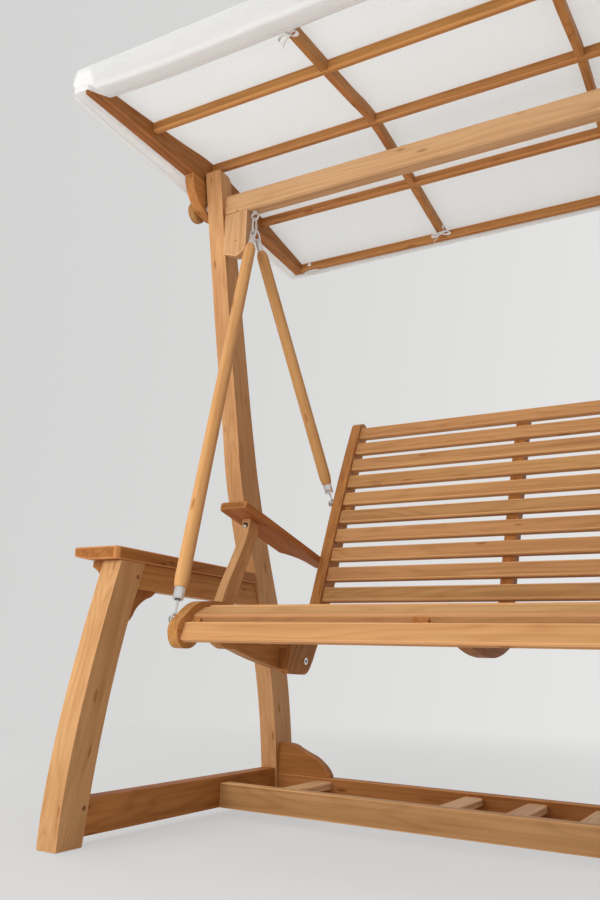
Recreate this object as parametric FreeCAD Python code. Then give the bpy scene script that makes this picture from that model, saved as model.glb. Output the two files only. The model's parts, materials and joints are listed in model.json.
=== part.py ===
import FreeCAD, Part
import math
import os

os.makedirs("parts", exist_ok=True)

# A free-standing garden swing: fixed frame, hanging bench, tilting canopy.
# X runs across, Y to the back, Z up. The origin is on the floor under the middle.
# Pieces of the left side are drawn and the right ones are their mirror images.

# Common clearances, and how finely wires and curves are drawn
fit_gap = 0.3
turn_gap = 0.05
overrun = 20.0
ease = 3.0
wire_sides = 6
hex_sides = 6
rod_sides = 24
spacer_sides = 16
ring_parts = 12
straight_angle = 0.0001

# Side frames: curved front legs
inner_half = 782.0
leg_thick = 58.0
leg_front = -505.0
leg_height = 636.0
leg_foot_depth = 80.0
leg_head_depth = 91.0
leg_lean = 129.0
leg_front_bend_share = 0.34
leg_rear_bend_shares = (0.25, 0.55)

# Side frames: S-curved back posts
post_thick = 54.0
post_front = 395.0
post_height = 1872.0
post_sweep = 474.0
post_depth = 95.0
post_head_round = 22.0
# height, sweep and depth as shares of the post's own sizes
post_shares = (
    (0.0, 0.0, 1.0),
    (0.159, 0.087, 1.03),
    (0.275, 0.23, 1.07),
    (0.4, 0.439, 1.09),
    (0.499, 0.578, 1.05),
    (0.594, 0.662, 0.92),
    (0.737, 0.789, 0.84),
    (1.0, 1.0, 0.65),
)

# Side frames: rails, brackets and arm boards
base_bottom = 20.0
rail_inset = 6.0
side_rail_thick = 38.0
side_rail_height = 80.0
arm_rail_thick = 35.0
arm_rail_inset = 8.0
arm_rail_height = 65.0
leg_bracket_thick = 23.0
leg_bracket_inset = 20.0
leg_bracket_run = 123.0
leg_bracket_drop = 95.0
leg_bracket_shares = ((1.0, 0.0), (0.89, 0.12), (0.7, 0.22), (0.49, 0.4), (0.22, 0.83), (0.0, 1.0))
arm_reach = 20.0
arm_thick = 32.0
arm_width = 141.0
arm_overhang = 3.0
arm_edge_rise = 9.0
arm_bevel_width = 45.0
arm_corner_cut = 8.0
corbel_setback = 32.0
corbel_thick = 22.0
corbel_reach = 42.0
corbel_drop = 68.0
corbel_shares = ((0.0, 1.0), (0.16, 0.72), (0.55, 0.4), (1.0, 0.22), (1.0, 0.0))

# Base: stretchers and slats between the side frames
stretcher_thick = 35.0
stretcher_height = 64.0
front_stretcher_front = 102.0
rear_stretcher_setback = 3.0
foot_bracket_thick = 30.0
foot_bracket_run = 175.0
foot_bracket_rise = 87.0
foot_bracket_shares = ((0.09, 1.0), (0.27, 0.99), (0.45, 0.83), (0.81, 0.49), (0.94, 0.25), (1.0, 0.06))
base_slat_width = 51.0
base_slat_thick = 20.0
base_slat_drop = 9.0
base_slat_end_gap = 160.0
base_slat_spread = 170.0

# Main beam, its brackets and eye bolts
beam_setback = 11.0
beam_drop = 138.0
beam_height = 68.0
beam_depth = 44.0
beam_round = 5.0
beam_bracket_thick = 30.0
beam_bracket_run = 80.0
beam_bracket_drop = 145.0
beam_bracket_round = 36.0
beam_bracket_heel = 15.0
eye_inset = 96.0
eye_wire = 6.0
eye_radius = 12.0
eye_shank = 8.0
eye_shank_depth = 50.0
eye_nut = 20.0
eye_nut_thick = 4.0

# Canopy frame
canopy_reach = 532.0
canopy_length = 1120.0
canopy_tail_drop = 3.0
canopy_rise = 86.0
# length and rise of the arched top line, as shares of the two sizes above
canopy_shares = (
    (0.0, 0.36),
    (0.199, 0.605),
    (0.319, 0.785),
    (0.464, 1.0),
    (0.608, 0.82),
    (0.769, 0.49),
    (0.87, 0.27),
    (1.0, 0.0),
)
post_spacer = 6.0
side_bar_thick = 36.0
side_bar_drop = 24.0
side_bar_tail_drop = 28.0
side_bar_bend_setback = 23.0
batten_width = 20.0
batten_height = 30.0
# places of the cross rails along the canopy, and of the cross bars to each side
rail_shares = (0.0, 0.209, 0.4745, 0.7427, 1.0)
cross_bar_share = 0.341
quadrant_thick = 30.0
quadrant_radius = 105.0
pivot_setback = 14.0
pivot_drop = 12.0
pivot_bolt = 10.0
clamp_lead = 21.0
clamp_drop = 71.0
clamp_bolt = 8.0
slot_gap = 0.5
slot_half_angle = 13.0
bolt_washer = 24.0
pivot_head = 20.0
pivot_head_thick = 5.0
knob_diameter = 75.0
knob_thick = 26.0
knob_rim_round = 8.0
knob_rim_shares = ((0.0, 1.0), (0.3, 0.3), (1.0, 0.0))
knob_dish_depth = 4.0
knob_dish_share = 0.5
knob_bolt_share = 0.8
knob_sides = 30

# Canopy cover and its tapes
cover_thick = 3.0
cover_side_gap = 16.0
cover_front_gap = 7.0
cover_back_gap = 9.0
cover_front_hem_drop = 16.0
cover_side_hem_drop = 27.0
cover_rear_hem_drop = 39.0
cover_front_hem_run = 148.0
tie_width = 14.0
tie_thick = 1.6
tie_knot = 13.0
tie_inset = 34.0

# Bench: side boards
bench_side_gap = 244.0
board_thick = 26.0
board_reach = 438.0
board_bottom = 377.0
board_length = 605.0
board_height = 162.0
board_nose_shares = (
    (0.122, 0.407),
    (0.066, 0.319),
    (0.02, 0.36),
    (0.0, 0.488),
    (0.073, 0.852),
    (0.248, 1.0),
    (0.331, 0.981),
)
board_top_shares = ((0.331, 0.981), (0.412, 0.932), (0.577, 0.809), (0.874, 0.623))
board_rear_shares = ((0.874, 0.623), (0.975, 0.525), (1.0, 0.265), (0.932, 0.0))
board_belly_shares = ((0.932, 0.0), (0.813, 0.043), (0.643, 0.13), (0.37, 0.346))
board_ogee_shares = ((0.314, 0.346), (0.286, 0.377), (0.258, 0.426))
board_scallop_shares = ((0.258, 0.426), (0.164, 0.426), (0.122, 0.407))

# Bench: the line that the tops of the seat slats follow
seat_line_shares = (
    (0.091, 0.858),
    (0.19, 0.926),
    (0.372, 0.84),
    (0.57, 0.704),
    (0.769, 0.648),
    (0.901, 0.679),
)
seat_slat_thick = 18.0
seat_slat_gap = 5.0
seat_slat_count = 9
# front and back ends of the flat slats along the board, and the place of the steep one
seat_slats_shares = (0.0942, 0.8975)
nose_slat_width = 43.0
nose_slat_angle = 68.0
nose_slat_shares = (0.0281, 0.5556)

# Bench: back stiles, middle stile and back slats
stile_thick = 30.0
stile_setback = 423.0
stile_foot_rise = 2.0
stile_reach = 456.0
stile_rise = 771.0
stile_line_shares = ((0.254, 0.108), (0.364, 0.268), (0.546, 0.536), (0.763, 0.834), (0.882, 0.982))
stile_head_shares = ((0.882, 0.982), (0.945, 1.0), (1.0, 0.971))
stile_rear_shares = (
    (1.0, 0.971),
    (0.691, 0.536),
    (0.507, 0.272),
    (0.353, 0.107),
    (0.215, 0.01),
    (0.129, 0.0),
    (0.024, 0.004),
)
stile_foot_shares = ((0.024, 0.004), (0.0, 0.016), (0.031, 0.108), (0.254, 0.108))
back_slat_width = 43.0
back_slat_thick = 18.0
back_slat_count = 10
back_slat_recess = 8.0
back_slat_first_share = 0.284
back_slat_head_gap = 20.0
slat_seat = 2.0
mid_stile_thick = 32.0
mid_stile_depth = 40.0
backing_thick = 20.0
backing_depth = 28.0
backing_shares = (0.559, 0.676)

# Bench: middle bearer and ledgers
bearer_setback = 25.0
bearer_tail = 4.0
bearer_foot_rise = 54.0
bearer_height = 60.0
bearer_belly_shares = ((1.0, 0.58), (0.832, 0.1), (0.743, 0.0), (0.632, 0.03), (0.443, 0.38))
ledger_thick = 22.0
ledger_height = 26.0

# Bench: armrests and their posts
armrest_setback = 241.0
armrest_rise = 399.0
armrest_length = 450.0
armrest_thick = 20.0
armrest_angle = 12.93
armrest_width = 84.0
armrest_round = 15.0
# length and width of the outer edge behind its straight stretch
armrest_curve_shares = ((0.7, 1.0), (0.765, 0.74), (0.842, 0.58), (0.93, 0.5), (1.0, 0.46))
arm_post_thick = 24.0
arm_post_setback = 154.0
arm_post_foot_rise = 73.0
arm_post_lean = 151.0
arm_post_rise = 330.0
arm_post_foot_depth = 62.0
arm_post_head_depth = 45.0
arm_post_shares = ((0.0, 0.0), (0.22, 0.15), (0.4, 0.32), (0.79, 0.636), (0.95, 0.8), (1.0, 1.0))

# Hanger: links, rods, ferrules, loops and eyes
link_wire = 6.0
link_low_radius = 10.0
link_drop = 31.0
loop_wire = 5.0
loop_half = 8.0
loop_gap = 0.8
rod_head_gap = 67.0
front_rod_foot_gap = 76.0
rear_rod_foot_gap = 60.0
rod_diameter = 34.0
rod_head_diameter = 24.0
rod_foot_diameter = 28.0
rod_taper = 34.0
ferrule_length = 28.0
head_ferrule_diameter = 18.0
foot_ferrule_diameter = 25.0
ring_radius = 9.0
stud_diameter = 8.0
stud_head = 18.0
stud_head_thick = 3.0
stud_depth = 20.0
stud_reach = 14.0
# places of the front stud on the side board, and of the rear stud and the bolt on the stile
front_stud_shares = (0.0446, 0.6975)
rear_stud_shares = (0.6447, 0.6394)
stile_bolt_shares = (0.1886, 0.0428)
stile_bolt = 8.0
stile_bolt_head = 20.0
stile_bolt_head_thick = 5.0

pieces = {}


def vec(x, y, z):
    return FreeCAD.Vector(x, y, z)


across = vec(1, 0, 0)
backward = vec(0, 1, 0)
upward = vec(0, 0, 1)
origin = vec(0, 0, 0)


def points(shares, corner, size, x=0.0):
    """Points in a plane across X: a corner plus shares of two sizes."""
    return [vec(x, corner[0] + y * size[0], corner[1] + z * size[1]) for y, z in shares]


def points_front(shares, corner, size, y=0.0):
    """Points in a plane across Y: a corner plus shares of two sizes."""
    return [vec(corner[0] + x * size[0], y, corner[1] + z * size[1]) for x, z in shares]


def unit(direction):
    """The same direction with length one."""
    return direction * (1 / direction.Length)


def directions(through):
    """Directions of a smooth line at its points, each that of the circle through three of them."""
    chords = [after.sub(before) for before, after in zip(through, through[1:])]
    inner = [unit(a * b.dot(b) + b * a.dot(a)) for a, b in zip(chords, chords[1:])]
    first = unit(chords[0])
    last = unit(chords[-1])
    start = first * (first.dot(inner[0]) * 2) - inner[0]
    end = last * (last.dot(inner[-1]) * 2) - inner[-1]
    return [start] + inner + [end]


def arc_from(start, direction, end):
    """Circular arc that leaves start in a direction and ends at end, or a line where that is straight."""
    chord = end.sub(start)
    along = unit(chord)
    angle = math.acos(max(-1.0, min(1.0, along.dot(direction))))
    if angle < straight_angle:
        return Part.makeLine(start, end)
    outward = unit(direction - along * along.dot(direction))
    middle = start + chord * 0.5 + outward * (chord.Length / 2 * math.tan(angle / 2))
    return Part.Arc(start, middle, end).toShape()


def smooth(through):
    """Chain of tangent arcs through the points, two for each stretch."""
    edges = []
    leaving = directions(through)
    for start, end, out, home in zip(through, through[1:], leaving, leaving[1:]):
        chord = end.sub(start)
        square = chord.dot(chord)
        along = chord.dot(out + home)
        spread = 2 * (1 - out.dot(home))
        if spread < straight_angle * straight_angle:
            reach = square / (2 * along)
        else:
            reach = (math.sqrt(along * along + spread * square) - along) / spread
        from_start = start + out * reach
        to_end = end - home * reach
        joint = (from_start + to_end) * 0.5
        edges.append(arc_from(start, out, joint))
        edges.append(arc_from(joint, unit(to_end - from_start), end))
    return edges


def bend(start, control, end):
    """Curved edge that leaves start and reaches end along the lines to control."""
    curve = Part.BezierCurve()
    curve.setPoles([start, control, end])
    return curve.toShape()


def quarter(start, corner, end):
    """Round of a square corner, from start to end."""
    centre = start + end - corner
    middle = centre + unit(corner - centre) * centre.distanceToPoint(start)
    return Part.Arc(start, middle, end).toShape()


def lines(corners):
    """Straight edges from corner to corner."""
    return [Part.makeLine(a, b) for a, b in zip(corners, corners[1:])]


def shifted(edges, by):
    """The same edges moved."""
    copies = [edge.copy() for edge in edges]
    for copy in copies:
        copy.translate(by)
    return copies


def first_of(edges):
    """Where a chain of edges starts."""
    return edges[0].valueAt(edges[0].FirstParameter)


def last_of(edges):
    """Where a chain of edges ends."""
    return edges[-1].valueAt(edges[-1].LastParameter)


def prism(edges, direction):
    """Solid swept from a closed outline."""
    outline = Part.Wire(Part.__sortEdges__(edges))
    return Part.Face(outline).extrude(direction)


def block(x0, x1, y0, y1, z0, z1):
    """Box between two corners."""
    return Part.makeBox(x1 - x0, y1 - y0, z1 - z0, vec(x0, y0, z0))


def eased_bar(length, width, thick, edge):
    """Bar centred on X and Y, top face at zero height, with its long edges taken off."""
    half = width / 2
    corners = [(-half, -edge), (-half + edge, 0), (half - edge, 0), (half, -edge), (half, edge - thick),
               (half - edge, -thick), (edge - half, -thick), (-half, edge - thick), (-half, -edge)]
    return prism(lines([vec(-length / 2, y, z) for y, z in corners]), vec(length, 0, 0))


def place(shape, angle, where):
    """Shape turned about X and then moved."""
    turned = shape.copy()
    turned.rotate(origin, across, angle)
    turned.translate(where)
    return turned


def pin(start, end, diameter):
    """Round bar between two points."""
    axis = end.sub(start)
    return Part.makeCylinder(diameter / 2, axis.Length, start, axis)


def polygon_face(corners):
    """Flat face between corners."""
    return Part.Face(Part.makePolygon(corners + corners[:1]))


def solid_between(sections, closed):
    """Solid whose flat faces join each section of corners to the next."""
    faces = []
    following = sections[1:] + sections[:1] if closed else sections[1:]
    for near, far in zip(sections, following):
        for index in range(len(near)):
            after = (index + 1) % len(near)
            faces.append(polygon_face([near[index], near[after], far[after], far[index]]))
    if not closed:
        faces.append(polygon_face(sections[0]))
        faces.append(polygon_face(sections[-1]))
    solid = Part.Solid(Part.Shell(faces))
    if solid.Volume < 0:
        solid.reverse()
    return solid


def many_sided(start, direction, profile, sides):
    """Turned shape with flat sides; the profile lists distance along a direction and radius."""
    side = unit(direction.cross(backward if abs(direction.x) > abs(direction.y) else across))
    other = direction.cross(side)
    turns = [2 * math.pi * (index + 0.5) / sides for index in range(sides)]
    sections = []
    for along, radius in profile:
        middle = start + direction * along
        sections.append([middle + side * (radius * math.cos(turn)) + other * (radius * math.sin(turn))
                         for turn in turns])
    return solid_between(sections, False)


def hex_head(start, direction, diameter, thick):
    """Six-sided bolt head or nut."""
    return many_sided(start, direction, [(0, diameter / 2), (thick, diameter / 2)], hex_sides)


def wire_section(where, outward, normal, wire, stretch):
    """Corners of a many-sided wire section, with flats to the inside and outside of its bend."""
    corners = []
    for index in range(wire_sides):
        turn = 2 * math.pi * (index + 0.5) / wire_sides
        corners.append(where + outward * (math.cos(turn) * wire / 2 * stretch)
                       + normal * (math.sin(turn) * wire / 2))
    return corners


def wire_along(path, normal, wire, closed=False):
    """Bent wire along a flat path, mitred at each of its points."""
    count = len(path)
    sections = []
    for index, where in enumerate(path):
        before = path[index - 1] if index or closed else None
        after = path[(index + 1) % count] if index < count - 1 or closed else None
        runs = []
        if before is not None:
            runs.append(unit(where - before))
        if after is not None:
            runs.append(unit(after - where))
        sides = [run.cross(normal) for run in runs]
        outward = unit(sides[0] + sides[-1])
        sections.append(wire_section(where, outward, normal, wire, 1 / outward.dot(sides[0])))
    return solid_between(sections, closed)


def arc_path(centre, normal, toward, radius, angle):
    """Points of an arc that starts in a direction and turns about its normal."""
    side = normal.cross(toward)
    count = 2 * round(ring_parts * angle / 720)
    turns = [math.radians(angle) * index / count for index in range(count + 1)]
    return [centre + toward * (radius * math.cos(turn)) + side * (radius * math.sin(turn)) for turn in turns]


def wire_ring(centre, normal, toward, radius, wire):
    """Closed ring of wire that has a corner of its path in a direction."""
    return wire_along(arc_path(centre, normal, toward, radius, 360)[:-1], normal, wire, True)


def link_path(top, low, normal, top_radius, low_radius):
    """Path of a closed link: two arcs round their centres and the two straight runs between them."""
    down = unit(low.sub(top))
    side = normal.cross(down)
    lean = math.asin((low_radius - top_radius) / top.distanceToPoint(low))
    start = side * math.cos(lean) - down * math.sin(lean)
    finish = side * -math.cos(lean) - down * math.sin(lean)
    upper = arc_path(top, normal, start, top_radius, 180 - math.degrees(lean) * 2)
    lower = arc_path(low, normal, finish, low_radius, 180 + math.degrees(lean) * 2)
    return upper, lower


def mirrored(shape):
    """The same piece on the other side."""
    return shape.mirror(origin, across)


def with_mirrored(shapes):
    """The shapes and their mirror images as one group."""
    return Part.makeCompound(shapes + [mirrored(shape) for shape in shapes])


def add(name, shape):
    """Keep one piece under its name, as clean solids."""
    solids = shape.Solids
    pieces[name] = solids[0] if len(solids) == 1 else Part.makeCompound(solids)


def add_pair(name, shape):
    """Keep a left piece and its mirror image."""
    add(name + "_left", shape)
    add(name + "_right", mirrored(shape))


def largest(shape):
    """The biggest solid of a cut shape."""
    return max(shape.Solids, key=lambda solid: solid.Volume)


def spot_on(edges, axis, value):
    """Edge of a chain and parameter on it where the chain reaches a value along an axis."""
    rising = getattr(last_of(edges), axis) > getattr(first_of(edges), axis)
    for edge in edges:
        reached = getattr(edge.valueAt(edge.LastParameter), axis)
        if (reached >= value) == rising:
            break
    low = edge.FirstParameter
    high = edge.LastParameter
    for _ in range(50):
        middle = (low + high) / 2
        if (getattr(edge.valueAt(middle), axis) < value) == rising:
            low = middle
        else:
            high = middle
    return edge, (low + high) / 2


def point_on(edges, axis, value):
    """Point where a chain reaches a value along an axis."""
    edge, parameter = spot_on(edges, axis, value)
    return edge.valueAt(parameter)


def angle_on(edges, axis, value):
    """Angle of a chain against the floor where it reaches a value along an axis."""
    edge, parameter = spot_on(edges, axis, value)
    tangent = edge.tangentAt(parameter)
    return math.degrees(math.atan2(tangent.z, tangent.y))


def spot_after(edges, distance):
    """Point and angle of a chain at a distance along it."""
    for edge in edges[:-1]:
        if distance <= edge.Length:
            break
        distance -= edge.Length
    else:
        edge = edges[-1]
    parameter = edge.getParameterByLength(distance)
    tangent = edge.tangentAt(parameter)
    return edge.valueAt(parameter), math.degrees(math.atan2(tangent.z, tangent.y))


# Fixed frame
def leg_outline(x):
    """Edges of the banana-shaped leg in its plane."""
    front_foot = vec(x, leg_front, 0)
    rear_foot = vec(x, leg_front + leg_foot_depth, 0)
    front_head = vec(x, leg_front + leg_lean, leg_height)
    rear_head = vec(x, leg_front + leg_lean + leg_head_depth, leg_height)
    rear_run = leg_lean + leg_head_depth - leg_foot_depth
    front_control = vec(x, leg_front, leg_height * leg_front_bend_share)
    rear_run_share, rear_height_share = leg_rear_bend_shares
    rear_control = vec(x, rear_foot.y + rear_run * rear_run_share, leg_height * rear_height_share)
    return [bend(front_foot, front_control, front_head), Part.makeLine(front_head, rear_head),
            bend(rear_foot, rear_control, rear_head), Part.makeLine(front_foot, rear_foot)]


def post_front_line(x=0.0):
    """The post's front line from the floor up."""
    return smooth([vec(x, post_front - sweep * post_sweep, height * post_height)
                   for height, sweep, depth in post_shares])


def post_rear_line(x=0.0):
    """The post's rear line from the floor up to the round of its head."""
    through = []
    for height, sweep, depth in post_shares:
        top = min(height * post_height, post_height - post_head_round)
        through.append(vec(x, post_front - sweep * post_sweep + depth * post_depth, top))
    return smooth(through)


def post_middle(height):
    """Depth place of the post's middle at a height."""
    return (point_on(post_front_line(), "z", height).y + point_on(post_rear_line(), "z", height).y) / 2


def post_outline(x):
    """Edges of the S-curved post in its plane."""
    front = post_front_line(x)
    rear = post_rear_line(x)
    rear_head = last_of(rear)
    shoulder = vec(x, rear_head.y - post_head_round, post_height)
    head = quarter(shoulder, vec(x, rear_head.y, post_height), rear_head)
    caps = lines([last_of(front), shoulder]) + lines([first_of(front), first_of(rear)])
    return front + rear + [head] + caps


def build_side_frames():
    """Legs, posts, rails, brackets and arm boards."""
    leg_outer = -inner_half - leg_thick
    post_outer = -inner_half - post_thick
    leg = prism(leg_outline(leg_outer), vec(leg_thick, 0, 0))
    post = prism(post_outline(post_outer), vec(post_thick, 0, 0))
    for y, z, diameter in ((pivot_back, pivot_height, pivot_bolt), (clamp_back, clamp_height, clamp_bolt)):
        post = post.cut(pin(vec(post_outer - overrun, y, z), vec(-inner_half + overrun, y, z), diameter))
    add_pair("front_leg", leg)
    add_pair("back_post", post)

    leg_middle = leg_front + leg_foot_depth / 2
    post_foot_middle = post_front + post_depth / 2
    rail_inner = -inner_half - rail_inset
    rail = block(rail_inner - side_rail_thick, rail_inner, leg_middle, post_foot_middle, base_bottom,
                 base_bottom + side_rail_height)
    add_pair("side_rail", largest(rail.cut(leg).cut(post)))

    arm_rail_inner = -inner_half - arm_rail_inset
    head_middle = leg_front + leg_lean + leg_head_depth / 2
    rail_bottom = leg_height - arm_rail_height
    arm_rail = block(arm_rail_inner - arm_rail_thick, arm_rail_inner, head_middle, post_middle(leg_height),
                     rail_bottom, leg_height)
    add_pair("arm_rail", largest(arm_rail.cut(leg).cut(post)))

    bracket_x = -inner_half - leg_bracket_inset - leg_bracket_thick
    toe_height = rail_bottom - leg_bracket_drop
    toe = point_on([leg_outline(bracket_x)[2]], "z", toe_height).y
    curve = points(leg_bracket_shares, (toe, rail_bottom), (leg_bracket_run, -leg_bracket_drop), bracket_x)
    heel = [vec(bracket_x, toe - overrun, toe_height), vec(bracket_x, toe - overrun, rail_bottom)]
    bracket = prism(smooth(curve) + lines([curve[-1]] + heel + [curve[0]]), vec(leg_bracket_thick, 0, 0))
    add_pair("leg_bracket", largest(bracket.cut(leg)))

    build_arm_boards(leg_outer, post)


def build_arm_boards(leg_outer, post):
    """Arm boards from over the legs to the posts, with a corbel under each."""
    inner = -inner_half + arm_overhang
    outer = inner - arm_width
    front = leg_front + leg_lean - arm_reach
    section = [vec(inner, front, leg_height), vec(inner, front, leg_height + arm_thick),
               vec(outer, front, leg_height + arm_thick), vec(outer, front, leg_height + arm_edge_rise),
               vec(outer + arm_bevel_width, front, leg_height)]
    back = post_middle(leg_height)
    board = prism(lines(section + section[:1]), vec(0, back - front, 0))
    corner = [vec(inner, front, leg_height), vec(inner, front + arm_corner_cut, leg_height),
              vec(inner - arm_corner_cut, front, leg_height)]
    board = board.cut(prism(lines(corner + corner[:1]), vec(0, 0, arm_thick)))
    wide_post = prism(post_outline(outer - overrun), vec(arm_width + overrun * 2, 0, 0))
    add_pair("arm_board", largest(board.cut(wide_post)))

    corbel_front = leg_front + leg_lean + corbel_setback - corbel_thick
    corbel = points_front(corbel_shares, (leg_outer, leg_height), (-corbel_reach, -corbel_drop), corbel_front)
    edges = smooth(corbel[:-1]) + lines([corbel[-2], corbel[-1], vec(leg_outer, corbel_front, leg_height),
                                         corbel[0]])
    under_board = block(outer, leg_outer, corbel_front, corbel_front + corbel_thick, 0, leg_height)
    add_pair("arm_corbel", largest(prism(edges, vec(0, corbel_thick, 0)).common(under_board)))


def build_base():
    """Stretchers, their brackets and the flat slats between them."""
    rail_inner = -inner_half - rail_inset
    stretcher_top = base_bottom + stretcher_height
    add("front_stretcher", block(rail_inner, -rail_inner, front_stretcher_front,
                                 front_stretcher_front + stretcher_thick, base_bottom, stretcher_top))
    rear_front = post_front + rear_stretcher_setback
    add("rear_stretcher", block(-inner_half, inner_half, rear_front, rear_front + stretcher_thick,
                                base_bottom, stretcher_top))
    foot = points_front(foot_bracket_shares, (-inner_half, stretcher_top),
                        (foot_bracket_run, foot_bracket_rise), rear_front)
    corners = [foot[-1], vec(foot[-1].x, rear_front, stretcher_top),
               vec(-inner_half, rear_front, stretcher_top), vec(-inner_half, rear_front, foot[0].z), foot[0]]
    add_pair("stretcher_bracket", prism(smooth(foot) + lines(corners), vec(0, foot_bracket_thick, 0)))

    slat_front = front_stretcher_front + stretcher_thick
    outer = inner_half - base_slat_end_gap
    slats = []
    for x in (-outer, -base_slat_spread, 0, base_slat_spread, outer):
        slat = eased_bar(rear_front - slat_front, base_slat_width, base_slat_thick, ease)
        slat.rotate(origin, upward, 90)
        slat.translate(vec(x, (slat_front + rear_front) / 2, stretcher_top - base_slat_drop))
        slats.append(slat)
    add("base_cross_slats", Part.makeCompound(slats))


def build_beam():
    """Main beam with brackets and eye bolts."""
    beam = eased_bar(inner_half * 2, beam_depth, beam_height, beam_round)
    beam.translate(vec(0, swing_back, beam_bottom + beam_height))
    x = -inner_half + eye_inset
    nut_bottom = vec(x, swing_back, beam_bottom - eye_nut_thick)
    eye_centre = vec(x, swing_back, swing_height + eye_radius)
    eye = wire_ring(eye_centre, backward, upward, eye_radius, eye_wire)
    shank = pin(nut_bottom, vec(x, swing_back, beam_bottom + eye_shank_depth), eye_shank)
    nut = hex_head(nut_bottom, upward, eye_nut, eye_nut_thick)
    add("main_beam", beam.cut(with_mirrored([shank])))
    add("beam_eyes", with_mirrored([eye.fuse([shank, nut])]))

    beam_front = swing_back - beam_depth / 2
    run_end = -inner_half + beam_bracket_run
    low = beam_bottom - beam_bracket_drop
    round_top = vec(run_end, beam_front, low + beam_bracket_round)
    round_end = vec(run_end - beam_bracket_round, beam_front, low)
    arc = quarter(round_top, vec(run_end, beam_front, low), round_end)
    corners = [round_end, vec(-inner_half, beam_front, low + beam_bracket_heel),
               vec(-inner_half, beam_front, beam_bottom), vec(run_end, beam_front, beam_bottom), round_top]
    add_pair("beam_bracket", prism([arc] + lines(corners), vec(0, beam_bracket_thick, 0)))


def build_canopy_bolts():
    """Pivot and clamp bolts, fixed in the posts, each with a spacer washer."""
    post_outer = -inner_half - post_thick
    plate_inner = post_outer - post_spacer
    plate_outer = plate_inner - quadrant_thick
    knob_outer = plate_outer - knob_thick * knob_bolt_share
    bolts = []
    for y, z, diameter, end in ((pivot_back, pivot_height, pivot_bolt, plate_outer - fit_gap),
                                (clamp_back, clamp_height, clamp_bolt, knob_outer)):
        stem = pin(vec(end, y, z), vec(-inner_half, y, z), diameter)
        spacer = many_sided(vec(plate_inner + fit_gap, y, z), across,
                            [(0, bolt_washer / 2), (post_spacer - fit_gap, bolt_washer / 2)], spacer_sides)
        bolt = stem.fuse(spacer)
        if diameter == pivot_bolt:
            head_end = vec(end - pivot_head_thick, y, z)
            bolt = bolt.fuse(hex_head(head_end, across, pivot_head, pivot_head_thick))
        bolts.append(bolt)
    add("canopy_bolts", with_mirrored(bolts))


# Canopy
def crown_line(x=0.0, lift=0.0):
    """The arched top line of the canopy frame."""
    return smooth(points(canopy_shares, (canopy_front, canopy_tail + lift), (canopy_length, canopy_rise), x))


def slot_outline(centre, arm, half_width, bearing):
    """Edges of the arc slot that runs round the pivot."""

    def spot(radius, angle):
        turn = math.radians(angle)
        return centre.add(vec(0, radius * math.cos(turn), radius * math.sin(turn)))

    low = bearing - slot_half_angle
    high = bearing + slot_half_angle
    outer = arm + half_width
    inner = arm - half_width
    cap = math.degrees(half_width / arm)
    return [
        Part.Arc(spot(outer, low), spot(outer, bearing), spot(outer, high)).toShape(),
        Part.Arc(spot(outer, high), spot(arm, high + cap), spot(inner, high)).toShape(),
        Part.Arc(spot(inner, high), spot(inner, bearing), spot(inner, low)).toShape(),
        Part.Arc(spot(inner, low), spot(arm, low - cap), spot(outer, low)).toShape(),
    ]


def build_canopy_sides(bar_inner):
    """Arched side bars and the slotted quadrant plates under them."""
    bar_outer = bar_inner - side_bar_thick
    crown = crown_line(bar_outer)
    canopy_back = canopy_front + canopy_length
    bar_bend = pivot_back + side_bar_bend_setback
    tail_bottom = canopy_tail - side_bar_tail_drop
    corners = [first_of(crown), vec(bar_outer, canopy_front, side_bar_bottom),
               vec(bar_outer, bar_bend, side_bar_bottom), vec(bar_outer, canopy_back, tail_bottom),
               last_of(crown)]
    add_pair("canopy_side_bar", prism(crown + lines(corners), vec(side_bar_thick, 0, 0)))

    plate_outer = bar_inner - quadrant_thick
    centre = vec(plate_outer, pivot_back, side_bar_bottom)
    start = vec(plate_outer, pivot_back - quadrant_radius, side_bar_bottom)
    end = vec(plate_outer, pivot_back + quadrant_radius, side_bar_bottom)
    half_disc = Part.Arc(start, centre.add(vec(0, 0, -quadrant_radius)), end).toShape()
    plate = prism([half_disc] + lines([start, end]), vec(quadrant_thick, 0, 0))
    arm = math.hypot(clamp_back - pivot_back, clamp_height - pivot_height)
    bearing = math.degrees(math.atan2(clamp_height - pivot_height, clamp_back - pivot_back))
    slot_base = vec(plate_outer - overrun, pivot_back, pivot_height)
    depth = quadrant_thick + overrun * 2
    slot = prism(slot_outline(slot_base, arm, clamp_bolt / 2 + slot_gap, bearing), vec(depth, 0, 0))
    bore = pin(slot_base, vec(slot_base.x + depth, pivot_back, pivot_height), pivot_bolt + turn_gap * 2)
    tail_line = [vec(plate_outer, bar_bend, side_bar_bottom), vec(plate_outer, canopy_back, tail_bottom),
                 vec(plate_outer, canopy_back, side_bar_bottom)]
    below_bar = prism(lines(tail_line + tail_line[:1]), vec(quadrant_thick, 0, 0))
    add_pair("canopy_quadrant", largest(plate.cut(slot).cut(bore).cut(below_bar)))


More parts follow.
